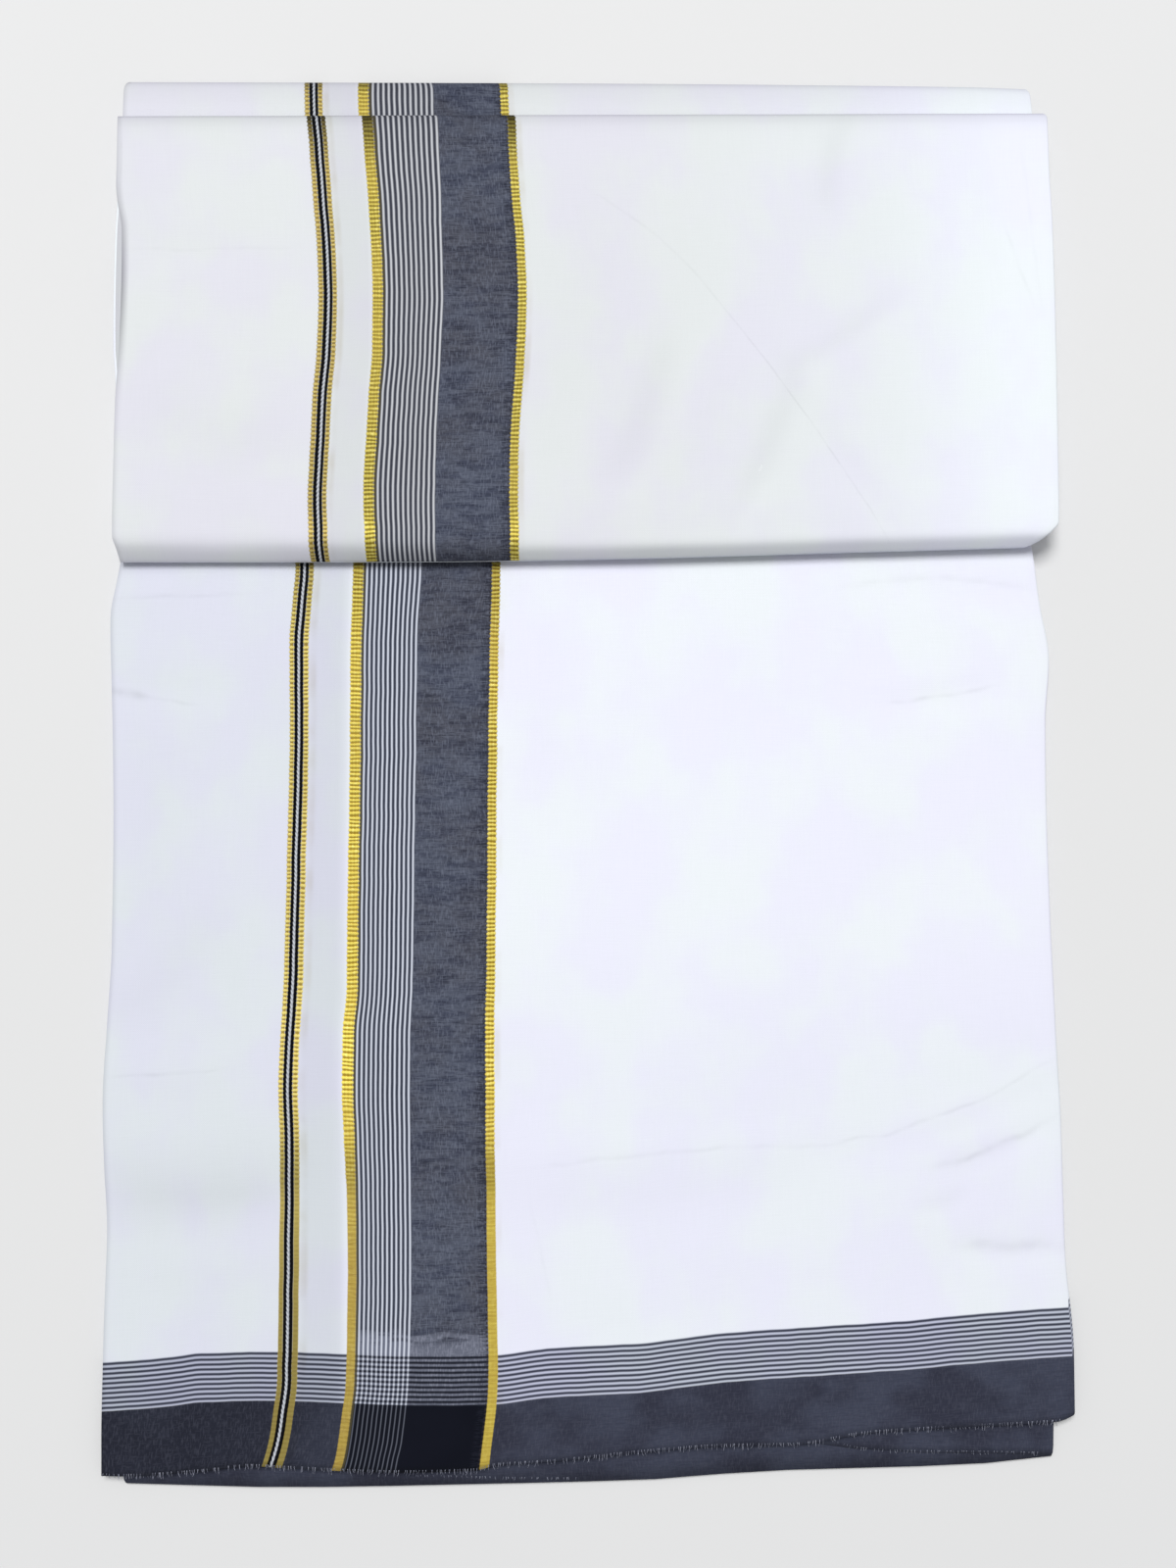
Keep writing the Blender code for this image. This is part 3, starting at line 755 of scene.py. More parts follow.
def painted_shade_share(x, y, z, u, parted):
    """How much painted shade lies on the cloth at each point: on the crests of the folds, by a
    decay curve from the outermost line; in the broad creases, where a negative share takes painted
    shade away; a painted shadow on the leaves close to the roll; and a painted shadow by a bell
    curve where the front's two woven edges part."""
    front = z > MIDDLE_LOW
    # Painted shade on the crests of the folds.
    inward = np.where(front, line_at(FRONT_TOP, x), line_at(BACK_TOP, x)) - y
    reach = np.where(front, FRONT_CREST_REACH, BACK_CREST_REACH)
    grey = np.where(front, FRONT_CREST_PAINTED_SHADE, BACK_CREST_PAINTED_SHADE)
    crest = grey * np.exp(-np.clip(inward, 0.0, None) / reach)
    over = z > FRONT_LOW
    # A painted shadow on the leaves beside the roll's foot.
    beside = (y - line_at(ROLL_LINE, x)) / ROLL_SHADOW_REACH
    roll_shadow = np.where(z < BACK_LOW, ROLL_PAINTED_SHADOW * np.exp(-beside**2), 0.0)
    leaves = crease_field(LEAF_CREASES, x, y, "shade") + roll_shadow
    # A painted shadow along the woven edge where the front's two woven edges part.
    gap_shadow = parted * front * (u < 1.0) * np.exp(-(((y - PARTED_SHADOW_PLACE) / PARTED_SHADOW_REACH) ** 2))
    return crest + gap_shadow + np.where(over, crease_field(FRONT_CREASES, x, y, "shade"), leaves)


def make_sheet(name, x, y, z, u, v, parted=0.0):
    """A thin shell of the cloth's thickness on a grid of points, with its place on the cloth
    in metres as its UV map."""
    rows, columns = x.shape
    faces = grid_faces(rows, columns)
    mesh = bpy.data.meshes.new(name)
    mesh.vertices.add(x.size)
    mesh.vertices.foreach_set("co", (np.stack([x, y, z], axis=-1) * MM).ravel())
    mesh.loops.add(faces.size)
    mesh.loops.foreach_set("vertex_index", faces.ravel())
    mesh.polygons.add(len(faces))
    mesh.polygons.foreach_set("loop_start", np.arange(len(faces)) * 4)
    mesh.polygons.foreach_set("use_smooth", np.ones(len(faces), dtype=bool))
    mesh.update(calc_edges=True)
    places = mesh.uv_layers.new(name=CLOTH_MAP)
    flat = np.stack([np.broadcast_to(u, x.shape), v], axis=-1).reshape(-1, 2) * MM
    places.data.foreach_set("uv", flat[faces.ravel()].ravel())
    # How much painted shade lies on the cloth at each point.
    painted_shade = mesh.attributes.new(PAINTED_SHADE_ATTRIBUTE, "FLOAT", "POINT")
    painted_shade.data.foreach_set("value", painted_shade_share(x, y, z, u, parted).ravel())
    sheet = add_object(name, mesh)
    wall = sheet.modifiers.new("cloth thickness", "SOLIDIFY")
    wall.thickness = THICK * MM
    wall.offset = 0.0
    wall.use_even_offset = False
    return sheet


def add_object(name, data):
    """A new object in the scene."""
    item = bpy.data.objects.new(name, data)
    bpy.context.scene.collection.objects.link(item)
    return item


def make_leaves(name, ply, fine_quarter, row_count, feet):
    """One ply of the open end."""
    columns = pleat_columns(ply.levels, fine_quarter)
    stretch = leaf_stretch(row_count, feet)
    x, y, z = stack_points([stretch], ply, columns)
    z = creased(x, y, z, True)
    start = y[0]
    banded = BAND_TOP + y - line_at(BAND_LINE, x)
    far = smooth_step((y - BANDED_END) / BANDED_FADE)
    top = (columns.quarter == 0) & (columns.after == 0) & (ply is PLY_ONE)
    v = np.where(top, mix(banded, y - CUT_MIDDLE, far), y - start)
    return make_sheet(name, x, y, z, columns.u, v)


def make_folds(name, ply, fine_quarter, counts, other_ply):
    """One ply of the folded half, with its end in the roll at the foot of the front, where it
    turns back to the level of the other ply."""
    columns = pleat_columns(ply.levels, fine_quarter)
    leaves = leaf_stretch(2, (OPEN_CUT,) * 4)
    stretches = fold_stretches(counts, leaves, ply)
    x, y, z = stack_points(stretches, ply, columns)
    other = np.array(level_shares(other_ply.levels))[columns.quarter.astype(int)]
    a, roll_z = roll_points(ply, columns, other, x[-1])
    roll_x = roll_sides(x[-1], a)
    roll_y = line_at(ROLL_LINE, roll_x) + a
    x, y, z = (np.concatenate(pair) for pair in ((x, roll_x), (y, roll_y), (z, roll_z)))
    z = creased(x, y, z, False)
    middle = x.shape[1] - len(fine_places()) // 2
    steps = np.hypot(np.diff(y[:, middle]), np.diff(z[:, middle]))
    v = OPEN_LENGTH + np.concatenate([[0.0], np.cumsum(steps)])
    return make_sheet(name, x, y, z, columns.u, np.broadcast_to(v[:, None], x.shape), ply.parted)


def make_cut_threads(name, lines):
    """The loose thread ends along the cut edges: short tapered rods of three sides.

    Each line gives the range across, the cut line, the height, the spacing and the length.
    A thread starts inside its cut edge, and goes out along the cloth by its length. It bends
    aside by the square of the way along it, and sinks a little towards its end.
    """
    chance = np.random.default_rng(7)
    starts, lengths, leans = [], [], []
    for low, high, line, height, step, length in lines:
        count = int((high - low) / step)
        x = low + (np.arange(count) + chance.uniform(-0.42, 0.42, count)) * step
        x = x[chance.uniform(size=count) < THREADS_KEPT]
        root = line_at(line, x) + THREAD_ROOT
        starts.append(np.stack([x, root, np.full_like(x, height)], axis=1))
        lengths.append(length * chance.uniform(0.35, 1.25, len(x)) + THREAD_LEAST)
        leans.append(chance.normal(0.0, THREAD_LEAN, len(x)))
    start, length, lean = (np.concatenate(part) for part in (starts, lengths, leans))
    way = np.linspace(0.0, 1.0, 5)
    path = np.repeat(start[:, None, :], len(way), axis=1)
    path[:, :, 0] += lean[:, None] * way**2
    path[:, :, 1] -= length[:, None] * way
    path[:, :, 2] -= THREAD_SINK * way**2
    turn = np.arange(3) * 2 * math.pi / 3
    radius = THREAD_RADIUS * (1 - 0.5 * way)
    ring = np.stack([np.cos(turn), np.zeros(3), np.sin(turn)], axis=1)
    points = path[:, :, None, :] + radius[None, :, None, None] * ring[None, None, :, :]
    corner = np.arange(3)
    step = np.arange(len(way) - 1)[:, None] * 3
    after = (corner + 1) % 3
    side = np.stack([step + corner, step + after, step + 3 + after, step + 3 + corner], axis=-1)
    side = side.reshape(-1, 4)
    last = (len(way) - 1) * 3
    caps = np.array([[0, 2, 1], [last, last + 1, last + 2]])
    shift = np.arange(len(start))[:, None, None] * len(way) * 3
    faces = (side + shift).reshape(-1, 4).tolist() + (caps + shift).reshape(-1, 3).tolist()
    mesh = bpy.data.meshes.new(name)
    mesh.from_pydata((points.reshape(-1, 3) * MM).tolist(), [], faces)
    mesh.polygons.foreach_set("use_smooth", np.ones(len(mesh.polygons), dtype=bool))
    mesh.update()
    return add_object(name, mesh)


# ---- Finishes ----


class Value:
    """A number or colour that a node gives. Arithmetic with it adds the nodes that do it."""

    def __init__(self, socket):
        self.socket = socket

    def __add__(self, other):
        return calc("ADD", self, other)

    def __radd__(self, other):
        return calc("ADD", other, self)

    def __sub__(self, other):
        return calc("SUBTRACT", self, other)

    def __rsub__(self, other):
        return calc("SUBTRACT", other, self)

    def __mul__(self, other):
        return calc("MULTIPLY", self, other)

    def __truediv__(self, other):
        return calc("DIVIDE", self, other)


def tree_of(*values):
    """The node tree of the first of some values that comes from a node."""
    return next(value.socket.id_data for value in values if isinstance(value, Value))


def add_node(tree, kind, **settings):
    """A new node with its settings."""
    node = tree.nodes.new(kind)
    for name, value in settings.items():
        setattr(node, name, value)
    return node


def feed(socket, value):
    """Links a node's value into an input, or sets the input to a plain one."""
    if isinstance(value, Value):
        socket.id_data.links.new(value.socket, socket)
    else:
        socket.default_value = value


def calc(operation, *values):
    """One step of arithmetic."""
    node = add_node(tree_of(*values), "ShaderNodeMath", operation=operation)
    for socket, value in zip(node.inputs, values):
        feed(socket, value)
    return Value(node.outputs[0])


def larger(first, second):
    """The larger of two values."""
    return calc("MAXIMUM", first, second)


def wave(place, pitch):
    """A sine wave along a place."""
    return calc("SINE", place * (2 * math.pi / pitch))


def ramp(value, low, high, start=0.0, stop=1.0):
    """A smooth step from start to stop as a value goes from low to high."""
    node = add_node(tree_of(value), "ShaderNodeMapRange", interpolation_type="SMOOTHSTEP")
    names = ("Value", "From Min", "From Max", "To Min", "To Max")
    for name, item in zip(names, (value, low, high, start, stop)):
        feed(node.inputs[name], item)
    return Value(node.outputs["Result"])


def linear(red, green, blue):
    """A colour given as 0 to 255 on screen, as linear light."""
    parts = np.array([red, green, blue]) / 255
    low, high = parts / 12.92, ((parts + 0.055) / 1.055) ** 2.4
    return (*np.where(parts <= 0.04045, low, high), 1.0)


def over(share, colour, top, strength=1.0, kind="MIX"):
    """A colour with another over it, by a share and a strength. Plain colours are given as 0
    to 255 on screen."""
    if strength != 1.0:
        share = share * strength
    node = add_node(tree_of(share, colour, top), "ShaderNodeMix", data_type="RGBA", blend_type=kind)
    feed(node.inputs[0], share)
    for socket, item in ((node.inputs[6], colour), (node.inputs[7], top)):
        feed(socket, item if isinstance(item, Value) else linear(*item))
    return Value(node.outputs[2])


def tint(share, colour, top, strength=1.0):
    """A colour multiplied by another, by a share and a strength."""
    return over(share, colour, top, strength, "MULTIPLY")


def layered(colour, *layers):
    """A colour with layers over it: each has how it is laid, its share, its colour and, where
    it isn't full, its strength."""
    for lay, share, *rest in layers:
        colour = lay(share, colour, *rest)
    return colour


def grey(value):
    """A grey of a value's brightness."""
    node = add_node(tree_of(value), "ShaderNodeCombineColor")
    for socket in node.inputs:
        feed(socket, value)
    return Value(node.outputs[0])


def noise(x, y, x_size, y_size, seed, detail=2.0, rough=0.5):
    """Noise from 0 to 1 whose grains have a size each way."""
    tree = tree_of(x, y)
    place = add_node(tree, "ShaderNodeCombineXYZ")
    for socket, part in zip(place.inputs, (x / x_size, y / y_size, seed)):
        feed(socket, part)
    grain = add_node(tree, "ShaderNodeTexNoise")
    feed(grain.inputs["Vector"], Value(place.outputs[0]))
    for name, item in (("Scale", 1.0), ("Detail", detail), ("Roughness", rough)):
        feed(grain.inputs[name], item)
    return Value(grain.outputs["Fac"])


def millimetres(tree, place):
    """The first two parts of a place given in metres, in millimetres."""
    split = add_node(tree, "ShaderNodeSeparateXYZ")
    feed(split.inputs[0], Value(place))
    return [Value(split.outputs[part]) * (1 / MM) for part in range(2)]


def new_group(name, inputs, outputs, vectors=()):
    """An empty node group: the group, the values of its named inputs, vectors first, and its
    named outputs."""
    group = bpy.data.node_groups.new(name, "ShaderNodeTree")
    sockets = [(label, "INPUT", "NodeSocketVector") for label in vectors]
    sockets += [(label, "INPUT", "NodeSocketFloat") for label in inputs]
    sockets += [(label, "OUTPUT", "NodeSocketFloat") for label in outputs]
    for label, side, kind in sockets:
        group.interface.new_socket(name=label, in_out=side, socket_type=kind)
    entry = add_node(group, "NodeGroupInput")
    leave = add_node(group, "NodeGroupOutput")
    return group, [Value(entry.outputs[label]) for label in (*vectors, *inputs)], leave.inputs


def use_group(group, **values):
    """The named values of a node group that is given values of its own."""
    node = add_node(tree_of(*values.values()), "ShaderNodeGroup", node_tree=group)
    for name, value in values.items():
        feed(node.inputs[name], value)
    return {socket.name: Value(socket) for socket in node.outputs}


def make_stripe_group():
    """Mask of one stripe: 1 from its low side to its high one, with soft sides."""
    names = ("Place", "Low", "High", "Soft")
    group, (place, low, high, soft), outputs = new_group("woven stripe", names, ("Mask",))
    half = soft * 0.5
    rise = ramp(place, low - half, low + half)
    fall = ramp(place, high - half, high + half, 1.0, 0.0)
    feed(outputs["Mask"], rise * fall)
    return group


def make_lines_group():
    """Mask of a run of equal lines: the distance to the nearest line's middle, for the lines
    from number 0 to the last one."""
    names = ("Place", "First", "Pitch", "Last", "Width", "Soft")
    group, values, outputs = new_group("woven lines", names, ("Mask",))
    place, first, pitch, last, width, soft = values
    number = (place - first) / pitch
    nearest = calc("MINIMUM", larger(calc("ROUND", number), 0.0), last)
    distance = calc("ABSOLUTE", number - nearest) * pitch
    half, side = width * 0.5, soft * 0.5
    feed(outputs["Mask"], ramp(distance, half - side, half + side, 1.0, 0.0))
    return group


def make_weave_group():
    """A plain weave's look: how far each thread stands up, and how its colour varies.

    Relief is the product of two waves at the threads' pitch. Streak is noise drawn out along
    the warp and along the weft, and Cloud is slow noise over the cloth.
    """
    names = ("Relief", "Streak", "Cloud")
    group, (u, v), outputs = new_group("plain weave", ("Across", "Along"), names)
    warp_wave, weft_wave = wave(u, WARP_PITCH), wave(v, WEFT_PITCH)
    warp_streak = noise(u, v, 0.30, 9.0, 1.3)
    weft_streak = noise(u, v, 11.0, 0.34, 5.1)
    streak = warp_streak * 0.5 + weft_streak * 0.5
    feed(outputs["Relief"], warp_wave * weft_wave * 0.25 + streak)
    feed(outputs["Streak"], streak)
    feed(outputs["Cloud"], noise(u, v, 26.0, 34.0, 9.7, 3.0))
    return group


def make_press_group():
    """One sharp crease: its height and how much painted shade it lays on the cloth at a place.

    Both are greatest on the crease's line, which bends aside by the square of the way along
    it. They fall off by a bell curve beside the line and by a flatter one towards its ends.
    Along and Beside are the crease's directions, over half its length and over its width.
    """
    group, values, outputs = new_group(
        "pressed crease", ("Bend", "Height", "Shade"), ("Height", "Shade"),
        ("Place", "Middle", "Along", "Beside"),
    )
    place, middle, along, beside, bend, height, shade = values

    def vector_step(operation, first, second):
        node = add_node(group, "ShaderNodeVectorMath", operation=operation)
        feed(node.inputs[0], first)
        feed(node.inputs[1], second)
        return node.outputs

    away = Value(vector_step("SUBTRACT", place, middle)[0])
    way, gap = (Value(vector_step("DOT_PRODUCT", away, line)["Value"]) for line in (along, beside))
    square = way * way
    gap = calc("MULTIPLY_ADD", square, bend, gap)
    mask = calc("POWER", 1 / math.e, calc("MULTIPLY_ADD", gap, gap, square * square))
    feed(outputs["Height"], mask * height)
    feed(outputs["Shade"], mask * shade)
    return group


def make_ribs_group():
    """The ribs of flat metal thread across a gold stripe.

    Rib is a soft wave along the stripe whose pitch wanders, which also sets painted shade in the
    grooves and painted highlight on the ribs. Glint is noise in short dashes for painted
    highlights, and Worn is slow noise along the stripe, for its duller lengths.
    """
    group, (u, v), outputs = new_group("gold ribs", ("Across", "Along"), ("Rib", "Glint", "Worn"))
    drift = noise(u, v, 9.0, 4.2, 3.3, 1.0)
    v = v + drift * 1.5
    ribs, strands = wave(v, RIB_PITCH), wave(u, STRAND_PITCH)
    feed(outputs["Rib"], ramp(ribs * 0.42 + strands * 0.10 + 0.5, 0.05, 0.95))
    feed(outputs["Glint"], ramp(noise(u, v, 0.9, 2.4, 7.7), 0.48, 0.72))
    feed(outputs["Worn"], ramp(noise(u, v, 60.0, 26.0, 2.9, 3.0), 0.42, 0.66))
    return group


def make_slub_group():
    """Uneven yarn in a shot weave: dark dashes along the weft, pale dashes along the warp,
    thicker places where a few picks lie close, and slow clouds."""
    names = ("Dark", "Pale", "Thick", "Cloud")
    group, (u, v), outputs = new_group("uneven yarn", ("Across", "Along"), names)
    long_dash = noise(u, v, 6.5, 0.55, 6.1, 3.0, 0.6)
    short_dash = noise(u, v, 1.7, 0.46, 8.9)
    dark = larger(ramp(long_dash, 0.46, 0.66), ramp(short_dash, 0.48, 0.70) * 0.65)
    feed(outputs["Dark"], dark)
    warp_dash = ramp(noise(u, v, 0.48, 2.2, 4.2), 0.46, 0.68)
    weft_dash = ramp(noise(u, v, 2.6, 0.44, 3.7), 0.50, 0.72)
    feed(outputs["Pale"], larger(warp_dash, weft_dash * 0.7))
    feed(outputs["Thick"], ramp(noise(u, v, 9.0, 2.1, 2.6, 3.0), 0.44, 0.62))
    feed(outputs["Cloud"], noise(u, v, 22.0, 17.0, 1.4, 3.0))
    return group


def pressed_creases(tree, group):
    """The height in millimetres and the painted shade of all sharp creases, at the object's place.

    Slow noise makes the lines waver and their strength uneven.
    """
    x, y = millimetres(tree, add_node(tree, "ShaderNodeTexCoord").outputs["Object"])
    waver = (noise(x, y, 13.0, 13.0, 3.3, 1.0) - 0.5) * PRESS_WAVER
    wavy = add_node(tree, "ShaderNodeCombineXYZ")
    feed(wavy.inputs[0], x + waver)
    feed(wavy.inputs[1], y - waver)
    height, shade = 0.0, 0.0
    for press in PRESSED:
        turn = math.radians(press.angle)
        half = press.length / 2
        crease = use_group(
            group, Place=Value(wavy.outputs[0]), Middle=(press.x, press.y, 0.0),
            Bend=-press.bend / press.width, Height=press.height, Shade=press.shade,
            Along=(math.cos(turn) / half, math.sin(turn) / half, 0.0),
            Beside=(-math.sin(turn) / press.width, math.cos(turn) / press.width, 0.0),
        )
        height = height + crease["Height"]
        shade = shade + crease["Shade"]
    uneven = ramp(noise(x, y, 7.0, 7.0, 8.8, 1.0), 0.3, 0.7, 0.45, 1.35)
    return height * uneven, shade * uneven


def new_finish(name, roughness, sheen):
    """A material with a matt surface, its tree and its surface node."""
    finish = bpy.data.materials.new(name)
    finish.use_nodes = True
    surface = finish.node_tree.nodes["Principled BSDF"]
    settings = {
        "Roughness": roughness, "Specular IOR Level": 0.06,
        "Sheen Weight": sheen, "Sheen Roughness": 0.6,
    }
    for label, value in settings.items():
        surface.inputs[label].default_value = value
    return finish, finish.node_tree, surface


def gold_painted_light(v, folded):
    """Painted light and shade on the gold along the cloth: painted shade towards the roll on the
    leaves, in a dip near the cut and beside the front fold's crest, and painted light on the roll's
    slope and nearer the cut."""
    leaf = ramp(v, 178.0, 240.0, 1.0, 0.80) * ramp(v, 262.0, 300.0, 1.0, 0.60)
    crest = larger(ramp(v, 560.0, 600.0, 1.0, 0.0), ramp(v, 786.0, 814.0, 0.12, 1.0))
    fold = crest * ramp(v, 926.0, 937.0, 0.69, 1.06)
    dip = larger(ramp(v, 84.0, 94.0, 1.0, 0.74), ramp(v, 98.0, 110.0, 0.74, 1.0))
    leaf = leaf * (dip * ramp(v, 136.0, 166.0, 1.22, 1.0))
    return leaf * (1.0 - folded) + fold * folded


def make_bordered_cotton(groups):
    """The white cotton with its warp border, gold ribs and dark end band."""
    finish, tree, surface = new_finish("bordered cotton", 0.86, 0.015)
    cloth = add_node(tree, "ShaderNodeUVMap", uv_map=CLOTH_MAP)
    u, v = millimetres(tree, cloth.outputs[0])
    wobble_u = noise(u, v, 30.0, 14.0, 2.2)
    wobble_v = noise(u, v, 12.0, 40.0, 4.4)
    u = u + (wobble_u - 0.5) * 0.5
    v = v + (wobble_v - 0.5) * 0.6
    weave, slubs, metal = (
        use_group(groups[name], Across=u, Along=v) for name in ("weave", "slubs", "ribs")
    )

    def stripe(low, high, soft=0.35, place=u):
        return use_group(groups["stripe"], Place=place, Low=low, High=high, Soft=soft)["Mask"]

    def lines(place, run, width, soft):
        first, pitch, last = run
        return use_group(groups["lines"], Place=place, First=first, Pitch=pitch, Last=last,
                         Width=width, Soft=soft)["Mask"]

    # The bleached ground, cooler over the open end. Painted shade greys it beside its woven edge
    # and towards the cut; on the folded half, painted light brightens it away from its woven edge.
    folded = ramp(v, OPEN_LENGTH - 3.0, OPEN_LENGTH - 1.0)
    ground = over(ramp(u, 76.0, 84.0, 1.0, 0.0), (235, 237, 247), (223, 226, 235))
    ground = over(ramp(v, 110.0, 190.0), ground, over(ramp(u, 76.0, 84.0), ground, (239, 241, 250)))
    folded_ground_painted_light = over(ramp(u, 150.0, 290.0), (226, 227, 232), (231, 233, 240))
    folded_ground_painted_light = over(ramp(u, 245.0, 318.0), folded_ground_painted_light, (240, 243, 251))
    ground = over(folded, ground, folded_ground_painted_light)
    ground = tint(stripe(66.5, 80.0, 3.0), ground, (244, 244, 245))
    cloud = ramp(weave["Cloud"], 0.3, 0.7)
    ground = over(cloud, ground, tint(1.0, ground, (252, 255, 250)))
    ground = tint(ramp(weave["Cloud"], 0.62, 0.38), ground, (251, 249, 255), 0.8)

    # Where the end band's weft replaces the white, and the paler weft beside it.
    band = stripe(-20.0, BAND_TOP, 0.5, v)
    pale_weft = stripe(BAND_TOP, PALE_TOP, 4.5, v + slubs["Thick"] * 3.0)
    weft_lines = lines(v, WEFT_RUN, 0.84, 0.55)

    # The shot ground of the border, and its fine white lines.
    shot = stripe(GOLD_ONE + 1.7, GOLD_TWO - 1.4)
    shot_colour = layered(
        over(ramp(slubs["Cloud"], 0.35, 0.65), (79, 81, 92), (84, 89, 104)),
        (tint, slubs["Thick"], (210, 211, 220)),
        (tint, slubs["Dark"], (120, 122, 136), 0.52),
        (over, slubs["Pale"], (120, 126, 142), 0.36),
        (over, pale_weft, over(slubs["Pale"], (106, 110, 125), (146, 149, 165), 0.6), 0.85),
        (over, stripe(GOLD_ONE + 1.7, FINE_END, 0.3),
         over(pale_weft, over(folded, (52, 57, 72), (58, 60, 70)), (104, 109, 126)), 0.85),
    )
    fine_lines = lines(u, FINE_RUN, 0.58, 0.55)
    colour = layered(
        ground,
        (over, shot, shot_colour),
        (over, fine_lines, over(folded, (220, 225, 238), (210, 212, 217)), 0.92),
    )

    # The dark weft: ten fine lines, then the band, with the fine lines grey on it.
    band_colour = layered(
        over(ramp(slubs["Cloud"], 0.36, 0.64), (50, 52, 66), (64, 68, 84)),
        (over, ramp(u, 40.0, 130.0, 1.0, 0.0), (32, 34, 44), 0.8),
        (over, slubs["Pale"], (84, 86, 100), 0.30),
        (over, slubs["Dark"], (36, 38, 52), 0.25),
    )
    band_shot = over(slubs["Cloud"], (12, 14, 23), (20, 22, 33))
    band_shot = over(lines(u, FINE_RUN, 0.34, 0.4), band_shot, (104, 108, 120), 0.85)
    greyed = stripe(BAND_TOP, WEFT_LINES_TOP, 0.6, v) * (1.0 - shot)
    colour = layered(
        colour,
        (tint, greyed, (200, 203, 215), 0.85),
        (tint, weft_lines * (0.95 - fine_lines * 0.34), (58, 61, 76)),
        (over, band, over(shot, band_colour, band_shot)),
    )

    # The narrow stripe: a pale twisted thread between two black lines.
    twist = wave(v + u * 1.4, TWIST_PITCH)
    core = stripe(NARROW_STRIPE - 0.42, NARROW_STRIPE + 0.38, 0.35, u + twist * 0.07)
    colour = layered(
        colour,
        (over, stripe(NARROW_STRIPE - 1.65, NARROW_STRIPE + 1.60), (9, 9, 14)),
        (over, core, over(ramp(twist, -1.0, 1.0), (168, 172, 180), (212, 216, 222)), 0.95),
    )

    # The gold: ribs that stand out at both sides and are flattened towards the cut by wear.
    ribbed = ramp(v + slubs["Cloud"] * 40.0, 96.0, 136.0, 0.16, 1.0)
    dull = 1.0 - ribbed
    rib = 0.5 + (metal["Rib"] - 0.5) * ribbed
    tooth = (rib - 0.5) * 0.26

    def gold_stripe(low, high):
        return stripe(low - tooth, high + tooth, 0.4)

    wide = larger(gold_stripe(GOLD_ONE - 2.05 + dull, GOLD_ONE + 1.6),
                  gold_stripe(GOLD_TWO - 1.55, GOLD_TWO + 1.4))
    narrow = larger(gold_stripe(NARROW_STRIPE - 3.15, NARROW_STRIPE - 1.65),
                    gold_stripe(NARROW_STRIPE + 1.6, NARROW_STRIPE + 3.35))
    gold = larger(wide, narrow)
    glint = metal["Glint"] * (rib * ramp(ribbed, 0.1, 1.0, 0.35, 1.0))
    near_cut = grey(ramp(v, 20.0, 150.0, 0.5, 1.0))
    # The gold's colour: painted shade in the grooves and painted highlight on the ribs, also on the
    # narrow stripes, painted glints, darker copies on the folds as painted shade, and painted light
    # and shade along the cloth in its last layer.
    bar = layered(
        over(rib, over(folded, (152, 124, 38), (124, 106, 38)),
             over(folded, (240, 222, 104), (206, 190, 88))),
        (over, glint, over(folded, (255, 247, 150), (238, 226, 132)), 0.7),
        (over, metal["Worn"], (190, 164, 72), 0.35),
        (tint, stripe(GOLD_TWO - 3.0, GOLD_TWO + 3.0),
         over(folded, (240, 238, 240), (255, 255, 255))),
        (over, dull * slubs["Dark"], (146, 114, 48), 0.5),
        (tint, dull * stripe(GOLD_ONE - 3.0, GOLD_ONE + 3.0),
         over(ramp(v, 12.0, 50.0), (208, 200, 232), (222, 216, 248))),
        (over, narrow, over(rib, (150, 128, 66), (214, 198, 130)), 0.6),
        (tint, narrow, over(folded, near_cut, (236, 232, 236))),
        (tint, 1.0, grey(gold_painted_light(v, folded))),
    )

    # Beside the gold: a dark selvage thread, dots, the weft's dark teeth and a faint fringe.
    dots = stripe(GOLD_TWO - 2.2, GOLD_TWO - 1.5, 0.3) * metal["Rib"]
    teeth = stripe(GOLD_TWO - 4.4, GOLD_TWO - 1.4, 1.6) * ramp(slubs["Dark"], 0.1, 0.5)
    fringe = larger(stripe(GOLD_TWO + 1.4, GOLD_TWO + 3.4, 1.4),
                    stripe(NARROW_STRIPE + 3.4, NARROW_STRIPE + 6.0, 1.6))
    colour = layered(
        colour,
        (over, stripe(GOLD_ONE + 1.5, GOLD_ONE + 2.4), (78, 72, 52), 0.85),
        (over, dots, (52, 44, 44), 0.8),
        (over, teeth, (34, 36, 48), 0.5),
        (tint, fringe * ramp(slubs["Cloud"], 0.35, 0.75), (238, 233, 222), 0.75),
        (over, gold, bar),
    )

    # The weave's streaks, the painted shade of the sharp creases, and the painted shade of the
    # crests, broad creases, roll and parted edges, over all of it.
    mottle = 0.965 + weave["Streak"] * 0.07
    crease_rise, crease_painted_shade = pressed_creases(tree, groups["press"])
    colour = tint(1.0, colour, grey(mottle * (1.0 - crease_painted_shade)))
    # The painted shade at each point tints the colour towards a dark lilac.
    painted_shade = add_node(tree, "ShaderNodeAttribute", attribute_name=PAINTED_SHADE_ATTRIBUTE)
    colour = tint(Value(painted_shade.outputs["Fac"]), colour, (30, 0, 66))
    feed(surface.inputs["Base Color"], colour)
    feed(surface.inputs["Metallic"], gold * 0.3)
    feed(surface.inputs["Roughness"], 0.9 - gold * 0.45)
    normal = None
    for height, strength, depth in (
        (crease_rise, 1.0, MM),
        (weave["Relief"] + rib * gold * 1.4, WEAVE_BUMP, WEAVE_DEPTH * MM),
    ):
        bump = add_node(tree, "ShaderNodeBump")
        bump.inputs["Strength"].default_value = strength
        bump.inputs["Distance"].default_value = depth
        feed(bump.inputs["Height"], height)
        if normal:
            feed(bump.inputs["Normal"], normal)
        normal = Value(bump.outputs["Normal"])
    feed(surface.inputs["Normal"], normal)
    return finish


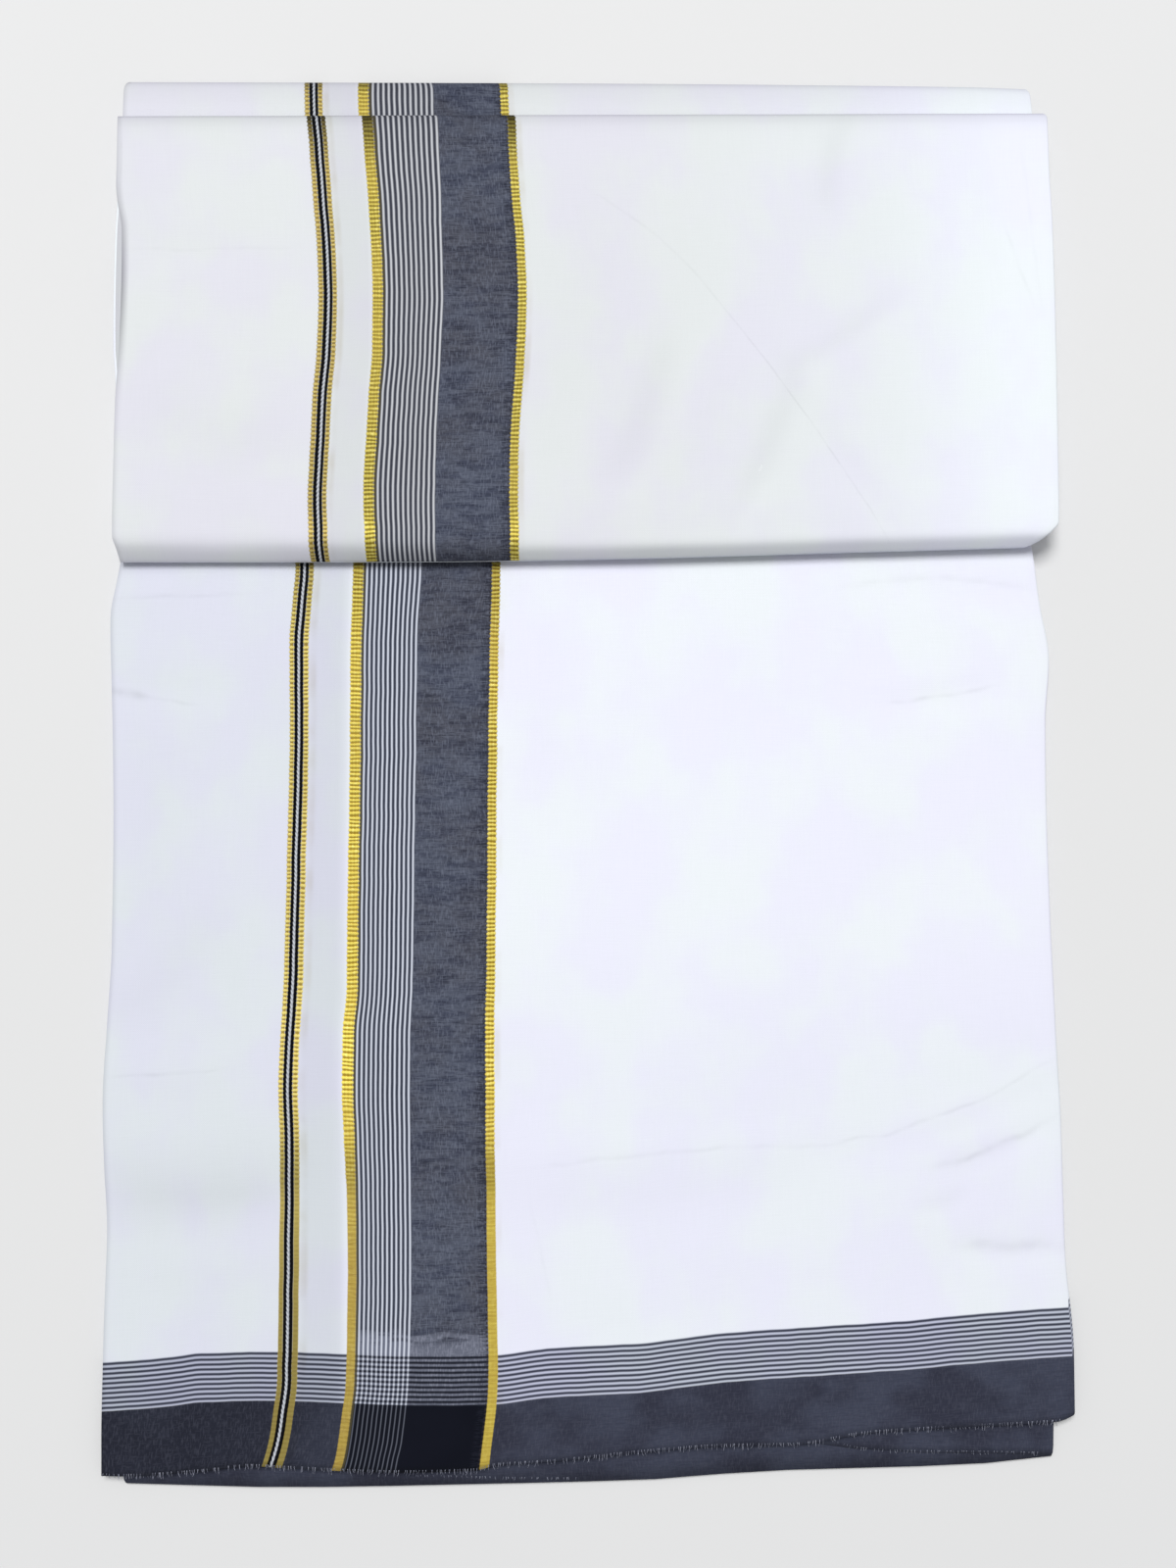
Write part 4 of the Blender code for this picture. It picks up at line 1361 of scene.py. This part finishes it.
def make_grained_finish(name, roughness, sheen, scale, dark, pale, span=()):
    """A plain finish between two colours, by fine or slow noise that a span may sharpen."""
    finish, tree, surface = new_finish(name, roughness, sheen)
    place = add_node(tree, "ShaderNodeTexCoord")
    grain = add_node(tree, "ShaderNodeTexNoise")
    grain.inputs["Scale"].default_value = scale
    feed(grain.inputs["Vector"], Value(place.outputs["Object"]))
    share = Value(grain.outputs["Fac"])
    feed(surface.inputs["Base Color"], over(ramp(share, *span) if span else share, dark, pale))
    return finish


# ---- The pieces ----

groups = {
    "stripe": make_stripe_group(),
    "lines": make_lines_group(),
    "weave": make_weave_group(),
    "slubs": make_slub_group(),
    "ribs": make_ribs_group(),
    "press": make_press_group(),
}
bordered_cotton = make_bordered_cotton(groups)

CUTS_ONE = (OPEN_CUT, moved(OPEN_CUT, 1.5), SECOND_CUT, moved(OPEN_CUT, 2.4))
CUTS_TWO = (moved(OPEN_CUT, 0.8), moved(OPEN_CUT, 2.0), LOWEST_CUT, moved(OPEN_CUT, 1.6))
LEAF_ROWS, HIDDEN_LEAF_ROWS = 197, 70
PANEL_ROWS, HIDDEN_PANEL_ROWS = (30, 26, 62, 10), (20, 16, 24, 8)

# The quarter of each half whose border shows.
LEAF_BORDER, FRONT_BORDER, NO_BORDER = 0, 3, -1

leaves_one = make_leaves("leaves_ply_one", PLY_ONE, LEAF_BORDER, LEAF_ROWS, CUTS_ONE)
leaves_two = make_leaves("leaves_ply_two", PLY_TWO, NO_BORDER, HIDDEN_LEAF_ROWS, CUTS_TWO)
folds_one = make_folds("folds_ply_one", PLY_ONE, FRONT_BORDER, PANEL_ROWS, PLY_TWO)
folds_two = make_folds("folds_ply_two", PLY_TWO, NO_BORDER, HIDDEN_PANEL_ROWS, PLY_ONE)

cut_threads = make_cut_threads("cut_threads", (
    (-157.0, 158.0, OPEN_CUT, 3.66, 0.95, 1.5),
    (20.0, 152.0, SECOND_CUT, 1.68, 1.1, 0.8),
    (-151.0, -138.0, THIRD_CUT, 1.2, 1.0, 0.8),
    (-55.0, 0.0, THIRD_CUT, 1.2, 1.1, 0.7),
))

for piece in (leaves_one, leaves_two, folds_one, folds_two):
    piece.data.materials.append(bordered_cotton)
    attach(piece, "root")
cut_threads.data.materials.append(make_grained_finish(
    "cut threads", 0.9, 0.1, 900.0, (116, 119, 136), (176, 179, 196), (0.4, 0.6)))
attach(cut_threads, "root")
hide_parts("upper_leaves", "lower_leaves")
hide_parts("back_fold", "front_fold")

# ---- Floor, light and camera, in metres ----

FLOOR_HALF = 3
floor_mesh = bpy.data.meshes.new("pale_floor")
corners = [(x * FLOOR_HALF, y * FLOOR_HALF, 0) for x, y in ((-1, -1), (1, -1), (1, 1), (-1, 1))]
floor_mesh.from_pydata(corners, [], [(0, 1, 2, 3)])
floor = add_object("pale_floor", floor_mesh)
floor.data.materials.append(make_grained_finish(
    "pale floor", 0.95, 0.0, 3.0, (225, 225, 225), (229, 229, 229)))

# One square softbox, which faces the middle of the cloth.
KEY_PLACE = Vector((-0.45, 2.28, 4.42))
lamp = bpy.data.lights.new("key softbox", "AREA")
lamp.shape = "SQUARE"
lamp.size = 2.1
lamp.energy = 198.0
light = add_object("key softbox", lamp)
light.location = KEY_PLACE
light.rotation_euler = (-KEY_PLACE).to_track_quat("-Z", "Y").to_euler()

world = bpy.data.worlds.new("studio")
world.use_nodes = True
sky = world.node_tree.nodes["Background"]
sky.inputs["Color"].default_value = (0.98, 0.99, 1.0, 1.0)
sky.inputs["Strength"].default_value = 0.39
bpy.context.scene.world = world

TILT = math.radians(4.0)
AIM = Vector((0.0018, -0.0073, 0.004))
REACH = 0.5
lens = bpy.data.cameras.new("camera")
lens.lens = 34.0
lens.sensor_width = 36.0
camera = add_object("camera", lens)
camera.location = AIM + REACH * Vector((0.0, -math.sin(TILT), math.cos(TILT)))
camera.rotation_euler = (TILT, 0.0, 0.0)
bpy.context.scene.camera = camera
bpy.context.scene.view_settings.view_transform = "Standard"
